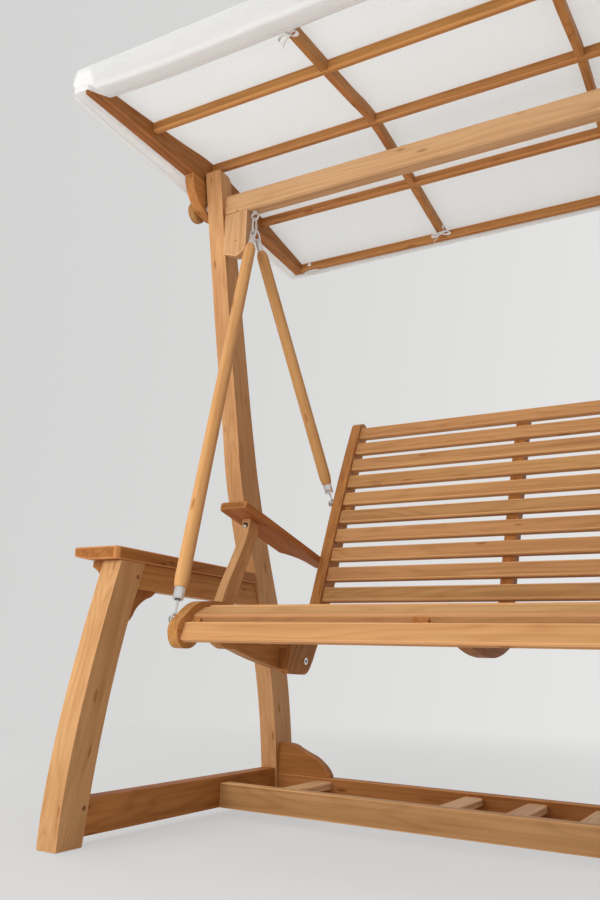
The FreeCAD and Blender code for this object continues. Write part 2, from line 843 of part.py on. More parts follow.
def build_canopy_rails(bar_inner):
    """Cross rails square to the arch, and the arched cross bars lapped into the middle three."""
    crown = crown_line()
    cross_bar_place = -bar_inner * cross_bar_share
    seats = []
    for share in rail_shares:
        y = canopy_front + batten_width / 2 + share * (canopy_length - batten_width)
        seats.append((angle_on(crown, "y", y), point_on(crown, "y", y)))
    rails = [place(eased_bar(-bar_inner * 2, batten_width, batten_height, ease), angle, where)
             for angle, where in seats]

    low_crown = shifted(crown, vec(0, 0, -batten_height))
    arch = prism(crown + low_crown + lines([first_of(crown), first_of(low_crown)])
                 + lines([last_of(crown), last_of(low_crown)]), vec(batten_width, 0, 0))
    arch.translate(vec(-batten_width / 2, 0, 0))
    half = batten_width / 2
    cross = arch.cut(rails[0]).cut(rails[-1])
    for index in range(1, len(rails) - 1):
        lap = block(-batten_width, batten_width, -half, half, -batten_height * 2, -batten_height / 2)
        cross = cross.cut(place(lap, *seats[index]))
        for side in (-1, 1):
            x = side * cross_bar_place
            notch = block(x - half, x + half, -batten_width, batten_width, -batten_height / 2, batten_height)
            rails[index] = rails[index].cut(place(notch, *seats[index]))
    for name, rail in zip(("front", "second", "middle", "fourth", "rear"), rails):
        add("canopy_rail_" + name, rail)
    cross = largest(cross)
    cross.translate(vec(-cross_bar_place, 0, 0))
    add_pair("canopy_cross_bar", cross)
    build_ties(crown, seats, cross_bar_place, bar_inner)


def tie_band(width, height, along):
    """Tape round a batten whose top middle is at the origin, with a knot under it."""
    outer_w = width / 2 + fit_gap + tie_thick
    inner_w = width / 2 + fit_gap
    low = height + fit_gap
    outer = block(-tie_width / 2, tie_width / 2, -outer_w, outer_w, -low - tie_thick, -fit_gap)
    inner = block(-tie_width, tie_width, -inner_w, inner_w, -low, tie_thick)
    knot_top = -low - tie_thick
    knot = block(-tie_knot / 2, tie_knot / 2, -tie_knot, tie_knot, knot_top - tie_knot, knot_top)
    band = outer.cut(inner).fuse(knot)
    if along == "y":
        band.rotate(origin, upward, 90)
    return band


def build_ties(crown, seats, cross_bar_place, bar_inner):
    """Tapes that hold the cover to the end rails and to the ends of the cross bars."""
    ties = []
    for index, step in ((0, 1), (-1, -1)):
        angle, where = seats[index]
        y = where.y + step * (batten_width / 2 + tie_inset)
        top = point_on(crown, "y", y)
        along_bar = place(tie_band(batten_width, batten_height, "y"), angle_on(crown, "y", y), top)
        along_bar.translate(vec(-cross_bar_place, 0, 0))
        corner = place(tie_band(batten_width, batten_height, "x"), angle, where)
        corner.translate(vec(bar_inner + tie_inset, 0, 0))
        ties += [along_bar, corner]
    add("canopy_ties", with_mirrored(ties))


def cover_block(lift, wall, half_width, below):
    """Block under the arched cloth, from its hems up."""
    x = -half_width
    front = canopy_front - cover_front_gap + wall
    back = canopy_front + canopy_length + cover_back_gap - wall
    crown = crown_line(x, lift)
    first = first_of(crown)
    last = last_of(crown)
    front_hem = canopy_tail - cover_front_hem_drop - below
    side_hem = canopy_tail - cover_side_hem_drop - below
    rear_hem = canopy_tail - cover_rear_hem_drop - below
    hem_bend = canopy_front - cover_front_gap + cover_front_hem_run
    corners = [last, vec(x, back, last.z), vec(x, back, rear_hem), vec(x, hem_bend, side_hem),
               vec(x, front, front_hem), vec(x, front, first.z), first]
    return prism(crown + lines(corners), vec(half_width * 2, 0, 0))


def build_cover(bar_inner):
    """Cloth cover, a thin shell over the canopy frame."""
    half_width = -bar_inner + side_bar_thick + cover_side_gap
    outer_shell = cover_block(fit_gap + cover_thick, 0, half_width, 0)
    inner_shell = cover_block(fit_gap, cover_thick, half_width - cover_thick, overrun)
    add("canopy_cover", outer_shell.cut(inner_shell))


def build_knobs(plate_outer):
    """Turned wooden hand knobs on the clamp bolts."""
    radius = knob_diameter / 2
    dish = radius * knob_dish_share
    profile = [(0.0, radius)]
    profile += [(knob_thick - z * knob_rim_round, radius - r * knob_rim_round) for r, z in knob_rim_shares]
    profile += [(knob_thick, dish), (knob_thick - knob_dish_depth, dish - knob_dish_depth)]
    face_outward = vec(-1, 0, 0)
    seat = vec(plate_outer - fit_gap, clamp_back, clamp_height)
    knob = many_sided(seat, face_outward, profile, knob_sides)
    bore_end = seat + face_outward * (knob_thick * knob_bolt_share + fit_gap)
    add_pair("canopy_knob", knob.cut(pin(seat, bore_end, clamp_bolt + turn_gap * 2)).removeSplitter())


# Bench
def board_points(shares, x=0.0):
    """Points given as shares of the side board."""
    return points(shares, (board_front, board_bottom), (board_length, board_height), x)


def stile_points(shares, x=0.0):
    """Points given as shares of the back stile."""
    corner = (board_front + stile_setback, board_bottom + stile_foot_rise)
    return points(shares, corner, (stile_reach, stile_rise), x)


def board_outline(x):
    """Edges of the scrolled side board."""
    belly = board_points(board_belly_shares, x)
    ogee = board_points(board_ogee_shares, x)
    edges = smooth(board_points(board_nose_shares, x)) + smooth(board_points(board_top_shares, x))
    edges += smooth(board_points(board_rear_shares, x)) + smooth(belly) + smooth(ogee)
    return edges + lines([belly[-1], ogee[0]]) + lines(board_points(board_scallop_shares, x))


def seat_slats():
    """The steep front slat and the flat ones along the seat line."""
    line = smooth(board_points(seat_line_shares))
    corner = board_points([nose_slat_shares])[0]
    steep = eased_bar(bench_half * 2, nose_slat_width, seat_slat_thick, ease)
    slats = [place(steep, nose_slat_angle, corner)]
    start = board_front + board_length * seat_slats_shares[0]
    run = board_length * (seat_slats_shares[1] - seat_slats_shares[0])
    pitch = (run + seat_slat_gap) / seat_slat_count
    slat = eased_bar(bench_half * 2, pitch - seat_slat_gap, seat_slat_thick, ease)
    for index in range(seat_slat_count):
        y = start + (pitch - seat_slat_gap) / 2 + index * pitch
        slats.append(place(slat, angle_on(line, "y", y), point_on(line, "y", y)))
    return slats


def nose_slat_rear(x):
    """Top and middle of the steep front slat's rear face."""
    turn = math.radians(nose_slat_angle)
    corner = board_points([nose_slat_shares], x)[0]
    middle = corner + vec(0, math.sin(turn), -math.cos(turn)) * seat_slat_thick
    rise = vec(0, math.cos(turn), math.sin(turn)) * (nose_slat_width / 2)
    return middle + rise, middle


def back_slats():
    """Slats up the back, set into the stiles' front line."""
    line = smooth(stile_points(stile_line_shares))
    slat = eased_bar((bench_half - stile_thick) * 2, back_slat_width, back_slat_thick, ease)
    lowest = board_bottom + stile_foot_rise + stile_rise * back_slat_first_share
    low = point_on(line, "z", lowest)
    first = 0.0
    for edge in line:
        if edge.valueAt(edge.LastParameter).z > lowest:
            first += Part.Edge(edge.Curve, edge.FirstParameter, edge.Curve.parameter(low)).Length
            break
        first += edge.Length
    length = sum(edge.Length for edge in line)
    pitch = (length - back_slat_head_gap - first) / (back_slat_count - 1)
    slats = []
    for index in range(back_slat_count):
        where, angle = spot_after(line, first + index * pitch)
        turn = math.radians(angle)
        inward = vec(0, math.sin(turn), -math.cos(turn))
        slats.append(place(slat, angle, where + inward * back_slat_recess))
    return slats


def build_seat_bolts(board_outer, stile_inner):
    """Hook studs and stile bolts of the left side."""
    front_stud = board_points([front_stud_shares], board_outer)[0]
    rear_stud = stile_points([rear_stud_shares], -bench_half)[0]
    studs = []
    for seat in (front_stud, rear_stud):
        tip = seat - across * stud_reach
        shank = pin(tip, seat + across * stud_depth, stud_diameter)
        studs.append(shank.fuse(hex_head(tip - across * stud_head_thick, across, stud_head, stud_head_thick)))
    outer_end = stile_points([stile_bolt_shares], board_outer)[0]
    inner_end = stile_points([stile_bolt_shares], stile_inner)[0]
    bolt = pin(outer_end, inner_end, stile_bolt)
    inner_head = hex_head(inner_end, across, stile_bolt_head, stile_bolt_head_thick)
    outer_head = hex_head(outer_end - across * stile_bolt_head_thick, across, stile_bolt_head,
                          stile_bolt_head_thick)
    studs.append(bolt.fuse([inner_head, outer_head]))
    add("seat_bolts", with_mirrored(studs))
    return Part.makeCompound(studs), front_stud, rear_stud


def build_bench():
    """Side boards, slats, stiles, bearer, ledgers, armrests and hangers."""
    board_outer = -bench_half - board_thick
    stile_inner = -bench_half + stile_thick
    hardware, front_stud, rear_stud = build_seat_bolts(board_outer, stile_inner)
    board = prism(board_outline(board_outer), vec(board_thick, 0, 0))
    add_pair("seat_side", largest(board.cut(hardware)))

    slats = seat_slats()
    rungs = back_slats()
    add("seat_slats", Part.makeCompound(slats))
    add("back_slats", Part.makeCompound(rungs))
    all_slats = Part.makeCompound(slats)
    all_rungs = Part.makeCompound(rungs)

    x = -bench_half
    head = Part.Arc(*stile_points(stile_head_shares, x)).toShape()
    edges = smooth(stile_points(stile_line_shares, x)) + [head]
    edges += smooth(stile_points(stile_rear_shares, x)) + lines(stile_points(stile_foot_shares, x))
    stile = prism(edges, vec(stile_thick, 0, 0))
    add_pair("back_stile", largest(stile.cut(hardware).cut(all_slats)))

    build_under_seat(all_slats, all_rungs, stile)
    build_armrests()
    build_hangers(board_outer, front_stud, rear_stud)


def build_under_seat(all_slats, all_rungs, stile):
    """Middle bearer, middle stile, ledgers and backing blocks."""
    lift = vec(0, 0, slat_seat - seat_slat_thick)
    bearer_x = -mid_stile_thick / 2
    corner = (board_front + bearer_setback, board_bottom + bearer_foot_rise)
    length = board_length - bearer_setback + bearer_tail
    belly = points(bearer_belly_shares, corner, (length, bearer_height), bearer_x)
    seat = shifted(smooth(board_points(seat_line_shares, bearer_x)), lift)
    rear_top = vec(bearer_x, belly[0].y, last_of(seat).z)
    nose_top, nose_middle = nose_slat_rear(bearer_x)
    edges = seat + smooth(belly) + lines([last_of(seat), rear_top, belly[0]])
    edges += lines([belly[-1], nose_middle, nose_top, first_of(seat)])
    bearer = largest(prism(edges, vec(mid_stile_thick, 0, 0)).cut(all_slats))
    add("seat_mid_bearer", bearer)

    step = vec(0, back_slat_recess + back_slat_thick - slat_seat, 0)
    mid_stile = stile_strip(bearer_x, step, mid_stile_depth, mid_stile_thick)
    add("back_mid_stile", largest(mid_stile.cut(bearer).cut(all_rungs).cut(all_slats)))

    x = -bench_half
    top = shifted(smooth(board_points(seat_line_shares, x)), lift)
    low = shifted(lines(board_points(seat_line_shares, x)), lift - vec(0, 0, ledger_height))
    nose_top, nose_middle = nose_slat_rear(x)
    edges = top + low + lines([first_of(top), nose_top, nose_middle, first_of(low)])
    edges += lines([last_of(top), last_of(low)])
    shadow = prism(board_outline(x), vec(ledger_thick, 0, 0))
    ledger = largest(prism(edges, vec(ledger_thick, 0, 0)).cut(all_slats).cut(stile).common(shadow))

    backing = stile_strip(x + stile_thick, step, backing_depth, backing_thick)
    ends = [board_bottom + stile_foot_rise + stile_rise * share for share in backing_shares]
    front = board_front + stile_setback
    span = block(-bench_half, 0, front, front + stile_reach * 2, ends[0], ends[1])
    backing = largest(backing.common(span).cut(all_rungs))
    add("seat_battens", with_mirrored([ledger, backing]))


def stile_strip(x, step, depth, thick):
    """Strip that follows the stiles' front line at a step behind it."""
    front = shifted(smooth(stile_points(stile_line_shares, x)), step)
    rear = shifted(lines(stile_points(stile_line_shares, x)), step + vec(0, depth, 0))
    caps = lines([first_of(front), first_of(rear)]) + lines([last_of(front), last_of(rear)])
    return prism(front + rear + caps, vec(thick, 0, 0))


def build_armrests():
    """Sloping armrests and the leaning posts under them."""
    inner = -bench_half
    outer = inner - armrest_width
    curve = [vec(inner - width * armrest_width, along * armrest_length, 0)
             for along, width in armrest_curve_shares]
    round_end = vec(outer + armrest_round, 0, 0)
    round_start = vec(outer, armrest_round, 0)
    edges = [quarter(round_end, vec(outer, 0, 0), round_start)] + lines([round_start, curve[0]])
    edges += smooth(curve) + lines([curve[-1], vec(inner, armrest_length, 0), vec(inner, 0, 0), round_end])
    seat = vec(0, board_front + armrest_setback, board_bottom + armrest_rise)
    add_pair("armrest", place(prism(edges, vec(0, 0, armrest_thick)), -armrest_angle, seat))

    x = -bench_half - board_thick - arm_post_thick
    foot = vec(x, board_front + arm_post_setback, board_bottom + arm_post_foot_rise)
    front = [foot + vec(0, lean * arm_post_lean, rise * arm_post_rise) for lean, rise in arm_post_shares]
    rear = [point + vec(0, arm_post_foot_depth + (arm_post_head_depth - arm_post_foot_depth) * rise, 0)
            for point, (lean, rise) in zip(front, arm_post_shares)]
    post = prism(smooth(front) + smooth(rear) + lines([front[0], rear[0]]) + lines([front[-1], rear[-1]]),
                 vec(arm_post_thick, 0, 0))
    above = block(outer - overrun, -overrun, 0, armrest_length + overrun, 0, arm_post_rise)
    add_pair("arm_post", largest(post.cut(place(above, -armrest_angle, seat))))


def build_hangers(board_outer, front_stud, rear_stud):
    """Quick links, rods with ferrules, upper loops and lower eyes."""
    eye_x = -inner_half + eye_inset
    top_radius = eye_wire / 2 + link_wire / 2 + fit_gap
    top_centre = vec(eye_x, swing_back, swing_height)
    low_centre = vec(eye_x, swing_back, swing_height - link_drop)
    add("quick_links", with_mirrored([link_solid(top_centre, low_centre, top_radius)]))

    seat_inside = link_low_radius - link_wire / 2 - loop_wire / 2 - loop_gap
    apart = loop_wire / 2 + fit_gap
    drop = math.sqrt(seat_inside * seat_inside - apart * apart)
    rods = (("front", -apart, front_stud, front_rod_foot_gap), ("rear", apart, rear_stud, rear_rod_foot_gap))
    ferrules = []
    hooks = []
    for name, shift, stud, foot_gap in rods:
        hang = vec(eye_x, swing_back + shift, low_centre.z - drop)
        stud_centre = stud - across * (stud_reach / 2)
        down = unit(stud_centre.sub(hang))
        head = hang + down * rod_head_gap
        tail = stud_centre - down * foot_gap
        length = head.distanceToPoint(tail)
        profile = [(0, rod_head_diameter / 2), (rod_taper, rod_diameter / 2),
                   (length - rod_taper, rod_diameter / 2), (length, rod_foot_diameter / 2)]
        add_pair("hanger_rod_" + name, many_sided(head, down, profile, rod_sides))
        head_end = head - down * ferrule_length
        tail_end = tail + down * ferrule_length
        caps = [many_sided(head_end, down, [(0, head_ferrule_diameter / 2),
                                            (ferrule_length, head_ferrule_diameter / 2)], rod_sides),
                many_sided(tail, down, [(0, foot_ferrule_diameter / 2),
                                        (ferrule_length, foot_ferrule_diameter / 2)], rod_sides)]
        ferrules += caps
        sideways = unit(down.cross(backward))
        upper, lower = link_path(hang + down * loop_half, head_end - down * loop_half, down.cross(sideways),
                                 loop_half, loop_half)
        loop = wire_along(upper + lower, down.cross(sideways), loop_wire, True)
        hooks.append(largest(loop.cut(Part.makeCompound(caps))))

        lifted = stud_centre - down * (ring_radius - loop_wire / 2 - stud_diameter / 2 - fit_gap)
        aside = unit(vec(0, -down.y, -down.z))
        eye = wire_ring(lifted, across, aside, ring_radius, loop_wire)
        neck_path = [lifted + aside * ring_radius, tail_end - down * fit_gap]
        neck = wire_along(neck_path, unit(down.cross(across)), loop_wire)
        hooks.append(largest(eye.fuse(neck).cut(Part.makeCompound(caps))))
    add("rod_ferrules", with_mirrored(ferrules))
    add("rod_hooks", with_mirrored(hooks))


def link_solid(top, low, top_radius):
    """Quick link whose round top turns on the beam's eye."""
    upper, lower = link_path(top, low, across, top_radius, link_low_radius)
    start = unit(upper[0] - top)
    section = polygon_face(wire_section(upper[0], start, across, link_wire, 1))
    turn = math.degrees(unit(upper[-1] - top).getAngle(start))
    crest = section.revolve(top, across, turn)
    rest = wire_along([upper[-1]] + lower + [upper[0]], across, link_wire)
    return crest.fuse(rest).removeSplitter()


# Places that follow from the sizes
side_bar_bottom = post_height - side_bar_drop
pivot_height = side_bar_bottom - pivot_drop
clamp_height = pivot_height - clamp_drop
beam_bottom = post_height - beam_drop
swing_height = beam_bottom - eye_nut_thick - eye_radius * 2
canopy_tail = side_bar_bottom - canopy_tail_drop
pivot_back = post_middle(pivot_height) + pivot_setback
clamp_back = post_middle(clamp_height) - clamp_lead
swing_back = post_middle(beam_bottom + beam_height / 2) + beam_setback
canopy_front = pivot_back - canopy_reach
bench_half = inner_half - bench_side_gap
board_front = swing_back - board_reach
canopy_bar_inner = -inner_half - post_thick - post_spacer

build_side_frames()
build_base()
build_beam()
build_canopy_bolts()
build_canopy_sides(canopy_bar_inner)
build_canopy_rails(canopy_bar_inner)
build_cover(canopy_bar_inner)
build_knobs(canopy_bar_inner - quadrant_thick)
build_bench()

for name, shape in pieces.items():
    if not shape.isValid():
        print("not valid:", name)
    shape.exportStep("parts/" + name + ".step")
print(len(pieces), "pieces")
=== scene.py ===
"""Finishes and fine pieces of a teak garden swing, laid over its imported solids.

The swing has a fixed timber frame, a slatted bench that hangs on four wooden rods, and a cloth
canopy that tilts on its own slatted frame. Boards keep the solids' shapes and get softened edges
and grain. Wires, ferrules, rods, knobs, the cloth cover and its tied tapes are made here. Lengths
are in metres, angles in radians, unless a name says otherwise.
"""

import json
import logging
import math
from collections.abc import Callable
from dataclasses import dataclass, field, replace
from enum import Enum

import bmesh
import bpy
from mathutils import Euler, Matrix, Vector, noise

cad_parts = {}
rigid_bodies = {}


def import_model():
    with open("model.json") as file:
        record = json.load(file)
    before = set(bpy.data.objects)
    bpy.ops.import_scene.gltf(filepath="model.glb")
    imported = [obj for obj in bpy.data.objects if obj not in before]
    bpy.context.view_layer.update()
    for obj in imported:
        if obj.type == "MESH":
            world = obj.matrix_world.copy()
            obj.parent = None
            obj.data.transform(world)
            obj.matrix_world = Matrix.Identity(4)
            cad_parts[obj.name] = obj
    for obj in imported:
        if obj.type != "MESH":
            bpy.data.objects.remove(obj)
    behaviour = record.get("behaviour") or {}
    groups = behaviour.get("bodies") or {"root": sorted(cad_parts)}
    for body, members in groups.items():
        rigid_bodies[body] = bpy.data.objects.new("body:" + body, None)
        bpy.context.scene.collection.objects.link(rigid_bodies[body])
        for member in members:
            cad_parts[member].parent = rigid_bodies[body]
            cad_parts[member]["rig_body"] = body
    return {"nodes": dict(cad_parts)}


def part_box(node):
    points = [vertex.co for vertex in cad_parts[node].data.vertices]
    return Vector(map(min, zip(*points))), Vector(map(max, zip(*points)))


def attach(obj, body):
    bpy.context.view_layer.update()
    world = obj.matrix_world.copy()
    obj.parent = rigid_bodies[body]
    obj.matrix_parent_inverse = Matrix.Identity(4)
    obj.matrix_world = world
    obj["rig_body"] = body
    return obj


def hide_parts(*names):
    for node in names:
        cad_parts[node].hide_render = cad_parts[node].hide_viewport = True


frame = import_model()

MM = 0.001
MERGED = 0.00001
INWARD = Vector((1, 0, 0))
OUTWARD = Vector((-1, 0, 0))
FORWARD = Vector((0, -1, 0))
BACKWARD = Vector((0, 1, 0))
SIDES = (("left", 1), ("right", -1))
Colour = tuple[float, float, float, float]
Place = tuple[float, float, float]
Socket = bpy.types.NodeSocket
Shape = bmesh.types.BMesh
log = logging.getLogger("garden_swing")


def spot(x: float, y: float, z: float) -> Vector:
    """Gives a dataclass field that holds a point."""
    return field(default_factory=lambda: Vector((x, y, z)))


def part_way(value: float) -> float:
    """Gives a share kept between nought and one."""
    return min(max(value, 0.0), 1.0)


class Grain(Enum):
    """The way a board's grain runs, as a direction in the swing's own axes."""

    ACROSS = (1.0, 0.0, 0.0)
    DEPTH = (0.0, 1.0, 0.0)
    UPRIGHT = (0.0, 0.0, 1.0)
    LEG = (0.0, 0.2, 0.98)
    POST = (0.0, -0.27, 0.96)
    STILE = (0.0, 0.52, 0.85)
    ARM_POST = (0.0, 0.41, 0.91)
    ARMREST = (0.0, 0.974, -0.224)
    BRACKET = (0.0, 0.62, 0.78)


class Lay(Enum):
    """How a tape's bow lies on the batten that it is tied to."""

    ROUND_RAIL = "round a cross rail"
    ROUND_BAR = "round a cross bar"


class Wiring:
    """Short calls for adding nodes to a tree and joining them."""

    def __init__(self, tree: bpy.types.NodeTree) -> None:
        """Keeps the material's or the group's node tree."""
        self.tree = tree

    def add(self, kind: str, values: dict | None = None, **settings: object) -> bpy.types.Node:
        """Adds a node.

        Args:
            kind: the node's type name.
            values: a value or an output socket for each input, by name or number.
            **settings: the node's own settings.

        Returns:
            The new node.
        """
        node = self.tree.nodes.new(kind)
        for name, value in settings.items():
            setattr(node, name, value)
        for key, value in (values or {}).items():
            if isinstance(value, Socket):
                self.tree.links.new(value, node.inputs[key])
            else:
                node.inputs[key].default_value = value
        return node

    def math(self, kind: str, *values: object) -> Socket:
        """Adds a sum on numbers and gives its result."""
        return self.add("ShaderNodeMath", dict(enumerate(values)), operation=kind).outputs[0]

    def vector(self, kind: str, *values: object) -> bpy.types.bpy_prop_collection:
        """Adds a sum on vectors and gives its outputs."""
        return self.add("ShaderNodeVectorMath", dict(enumerate(values)), operation=kind).outputs

    def mix(self, share: object, a: object, b: object) -> Socket:
        """Adds a mix of two colours, by the second one's share, and gives the colour."""
        return self.add("ShaderNodeMix", {0: share, 6: a, 7: b}, data_type="RGBA").outputs[2]

    def ramp(self, value: object, low: float, high: float) -> Socket:
        """Adds a smooth step that is nought at the low value and one at the high one."""
        step = self.add("ShaderNodeMapRange", {0: value, 1: low, 2: high}, interpolation_type="SMOOTHSTEP")
        return step.outputs[0]

    def cloud(self, where: Socket, scale: float, detail: float, rough: float = 0.5,
              warp: float = 0.0) -> Socket:
        """Adds a cloudy pattern and gives its value."""
        return self.add("ShaderNodeTexNoise", {"Vector": where, "Scale": scale, "Detail": detail,
                                               "Roughness": rough, "Distortion": warp}).outputs["Fac"]

    def relief(self, height: Socket, strength: float, deep: float) -> Socket:
        """Adds a bump and gives its normal."""
        return self.add("ShaderNodeBump", {"Height": height, "Strength": strength, "Distance": deep}).outputs[0]

    def shader(self, kind: str, values: dict) -> Socket:
        """Adds a shader and gives its surface."""
        return self.add("ShaderNode" + kind, values).outputs[0]


class EffectGroup:
    """A shader node group that several finishes use."""

    name = "effect"
    inputs: tuple[tuple[str, str, object], ...] = ()
    outputs: tuple[tuple[str, str], ...] = ()

    def tree(self) -> bpy.types.NodeTree:
        """Gives the group's tree, built on its first use.

        Returns:
            The group's node tree.
        """
        found = bpy.data.node_groups.get(self.name)
        if found:
            return found
        tree = bpy.data.node_groups.new(self.name, "ShaderNodeTree")
        for name, kind, value in self.inputs:
            socket = tree.interface.new_socket(name, in_out="INPUT", socket_type=kind)
            if value is not None:
                socket.default_value = value
        for name, kind in self.outputs:
            tree.interface.new_socket(name, in_out="OUTPUT", socket_type=kind)
        wiring = Wiring(tree)
        entry = wiring.add("NodeGroupInput")
        wiring.add("NodeGroupOutput", self.build(wiring, entry.outputs))
        return tree

    def build(self, wiring: Wiring, given: bpy.types.bpy_prop_collection) -> dict[str, Socket]:
        """Makes the group's nodes.

        Args:
            wiring: adds nodes to the group.
            given: the group's inputs, as sockets.

        Returns:
            A socket for each output.
        """
        raise NotImplementedError

    def place(self, wiring: Wiring, values: dict) -> bpy.types.bpy_prop_collection:
        """Puts the group in a material, with a value or socket for each input, and gives its outputs."""
        return wiring.add("ShaderNodeGroup", values, node_tree=self.tree()).outputs


@dataclass(frozen=True)
class Mark:
    """A cloudy mark in wood: its scales along and over the grain, its make-up, edge and weight."""

    along: float
    over: float
    detail: float
    warp: float
    low: float
    high: float
    weight: float


class TeakGrain(EffectGroup):
    """Growth rings, fibres and pores of one board, with X along the grain and metres as the unit."""

    name = "teak grain"
    inputs = (("Vector", "NodeSocketVector", None), ("Board", "NodeSocketFloat", 0.0),
              ("Light", "NodeSocketColor", None), ("Dark", "NodeSocketColor", None),
              ("Figure", "NodeSocketFloat", 1.0))
    outputs = (("Color", "NodeSocketColor"), ("Roughness", "NodeSocketFloat"),
               ("Height", "NodeSocketFloat"))
    board_shift = (9.7, 3.1, 5.3)
    ring_scale = (1.7, 15.0)
    ring_turns = 62.0
    ring_edge = 2.2
    ring_weight = 0.25
    fibre = Mark(4.0, 420.0, 3.0, 0.2, 0.3, 0.72, 0.12)
    streak = Mark(0.8, 85.0, 4.0, 0.3, 0.34, 0.68, 0.3)
    mottle = Mark(1.3, 9.0, 2.0, 0.0, 0.3, 0.7, 0.24)
    pore = Mark(42.0, 1150.0, 2.0, 0.0, 0.62, 0.76, 0.14)
    knot_scale = (6.0, 21.0)
    knot_edge = (0.14, 0.05)
    knot_weight = 0.8
    least_bright, bright_spread = 0.9, 0.2
    least_hue, hue_spread, hue_turns = 0.4955, 0.009, 7.3
    least_rough, rough_spread = 0.47, 0.16

    def build(self, wiring: Wiring, given: bpy.types.bpy_prop_collection) -> dict[str, Socket]:
        """Makes the group's nodes.

        Args:
            wiring: adds nodes to the group.
            given: the group's inputs, as sockets.

        Returns:
            A socket for each output.
        """
        board = given["Board"]
        where = wiring.vector("MULTIPLY_ADD", self.board_shift, board, given["Vector"])[0]

        def drawn(along: float, over: float) -> Socket:
            """Gives the place on the board, scaled along and over the grain."""
            return wiring.vector("MULTIPLY", where, (along, over, over))[0]

        def cloudy(mark: Mark) -> Socket:
            """Gives how strongly a mark shows."""
            value = wiring.cloud(drawn(mark.along, mark.over), 1.0, mark.detail, 0.55, mark.warp)
            return wiring.ramp(value, mark.low, mark.high)

        turns = wiring.math("MULTIPLY", wiring.cloud(drawn(*self.ring_scale), 1.0, 1.2, 0.55), self.ring_turns)
        rings = wiring.math("MULTIPLY_ADD", wiring.math("SINE", turns), 0.5, 0.5)
        late = wiring.math("MULTIPLY", wiring.math("POWER", rings, self.ring_edge), given["Figure"])
        tone = wiring.math("MULTIPLY", late, self.ring_weight)
        fibre, pores = cloudy(self.fibre), cloudy(self.pore)
        knots = wiring.add("ShaderNodeTexVoronoi", {"Vector": drawn(*self.knot_scale), "Scale": 1.0})
        knot = wiring.ramp(knots.outputs["Distance"], *self.knot_edge)
        for shown, weight in ((fibre, self.fibre.weight), (cloudy(self.streak), self.streak.weight),
                              (cloudy(self.mottle), self.mottle.weight), (pores, self.pore.weight),
                              (knot, self.knot_weight)):
            tone = wiring.math("MULTIPLY_ADD", shown, weight, tone)
        bright = wiring.math("MULTIPLY_ADD", board, self.bright_spread, self.least_bright)
        warm = wiring.math("FRACT", wiring.math("MULTIPLY", board, self.hue_turns))
        hue = wiring.math("MULTIPLY_ADD", warm, self.hue_spread, self.least_hue)
        colour = wiring.mix(tone, given["Light"], given["Dark"])
        shade = wiring.add("ShaderNodeHueSaturation", {"Hue": hue, "Saturation": 1.0, "Value": bright,
                                                       "Fac": 1.0, "Color": colour})
        return {"Color": shade.outputs[0],
                "Roughness": wiring.math("MULTIPLY_ADD", tone, self.rough_spread, self.least_rough),
                "Height": wiring.math("MULTIPLY_ADD", pores, -0.8, wiring.math("MULTIPLY", fibre, 0.5))}


class Weave(EffectGroup):
    """Plain weave of warp and weft threads on a cloth's own map, in metres."""

    name = "plain weave"
    inputs = (("Vector", "NodeSocketVector", None), ("Threads", "NodeSocketFloat", 900.0))
    outputs = (("Height", "NodeSocketFloat"), ("Slub", "NodeSocketFloat"))
    slub_scale = 90.0

    def build(self, wiring: Wiring, given: bpy.types.bpy_prop_collection) -> dict[str, Socket]:
        """Makes the group's nodes.

        Args:
            wiring: adds nodes to the group.
            given: the group's inputs, as sockets.

        Returns:
            A socket for each output.
        """
        parts = wiring.add("ShaderNodeSeparateXYZ", {0: given["Vector"]}).outputs
        turns = wiring.math("MULTIPLY", given["Threads"], math.pi)
        warp, weft = (wiring.math("ABSOLUTE", wiring.math("SINE", wiring.math("MULTIPLY", part, turns)))
                      for part in (parts[0], parts[1]))
        return {"Height": wiring.math("MULTIPLY", wiring.math("ADD", warp, weft), 0.5),
                "Slub": wiring.cloud(given["Vector"], self.slub_scale, 4.0, 0.6)}


def toned(colour: Colour, factor: float, lift: float = 0.0) -> Colour:
    """Gives a colour made lighter or darker, but no lighter than white."""
    return tuple(min(part * factor + lift, 1.0) for part in colour[:3]) + (1.0,)


def shared(name: str, surface: Callable[[Wiring], Socket]) -> bpy.types.Material:
    """Gives the material of a name, made on its first use.

    Args:
        name: the material's name.
        surface: makes the material's nodes and gives its surface.

    Returns:
        The material.
    """
    made = bpy.data.materials.get(name)
    if not made:
        made = bpy.data.materials.new(name)
        made.use_nodes = True
        made.node_tree.nodes.clear()
        wiring = Wiring(made.node_tree)
        wiring.add("ShaderNodeOutputMaterial", {0: surface(wiring)})
    return made


class Finish:
    """A finish, with the record's slot that it stands for."""

    name: str
    slot: str

    def material(self) -> bpy.types.Material:
        """Gives the finish's material, made on its first use."""
        return shared(self.name, self.surface)

    def surface(self, wiring: Wiring) -> Socket:
        """Makes the material's nodes and gives its surface."""
        raise NotImplementedError

    def wear_and_highlight(self) -> "Finish | None":
        """Gives the finish of softened edges, with their wear and painted highlight, or none where it is the
        same.
        """
        return None


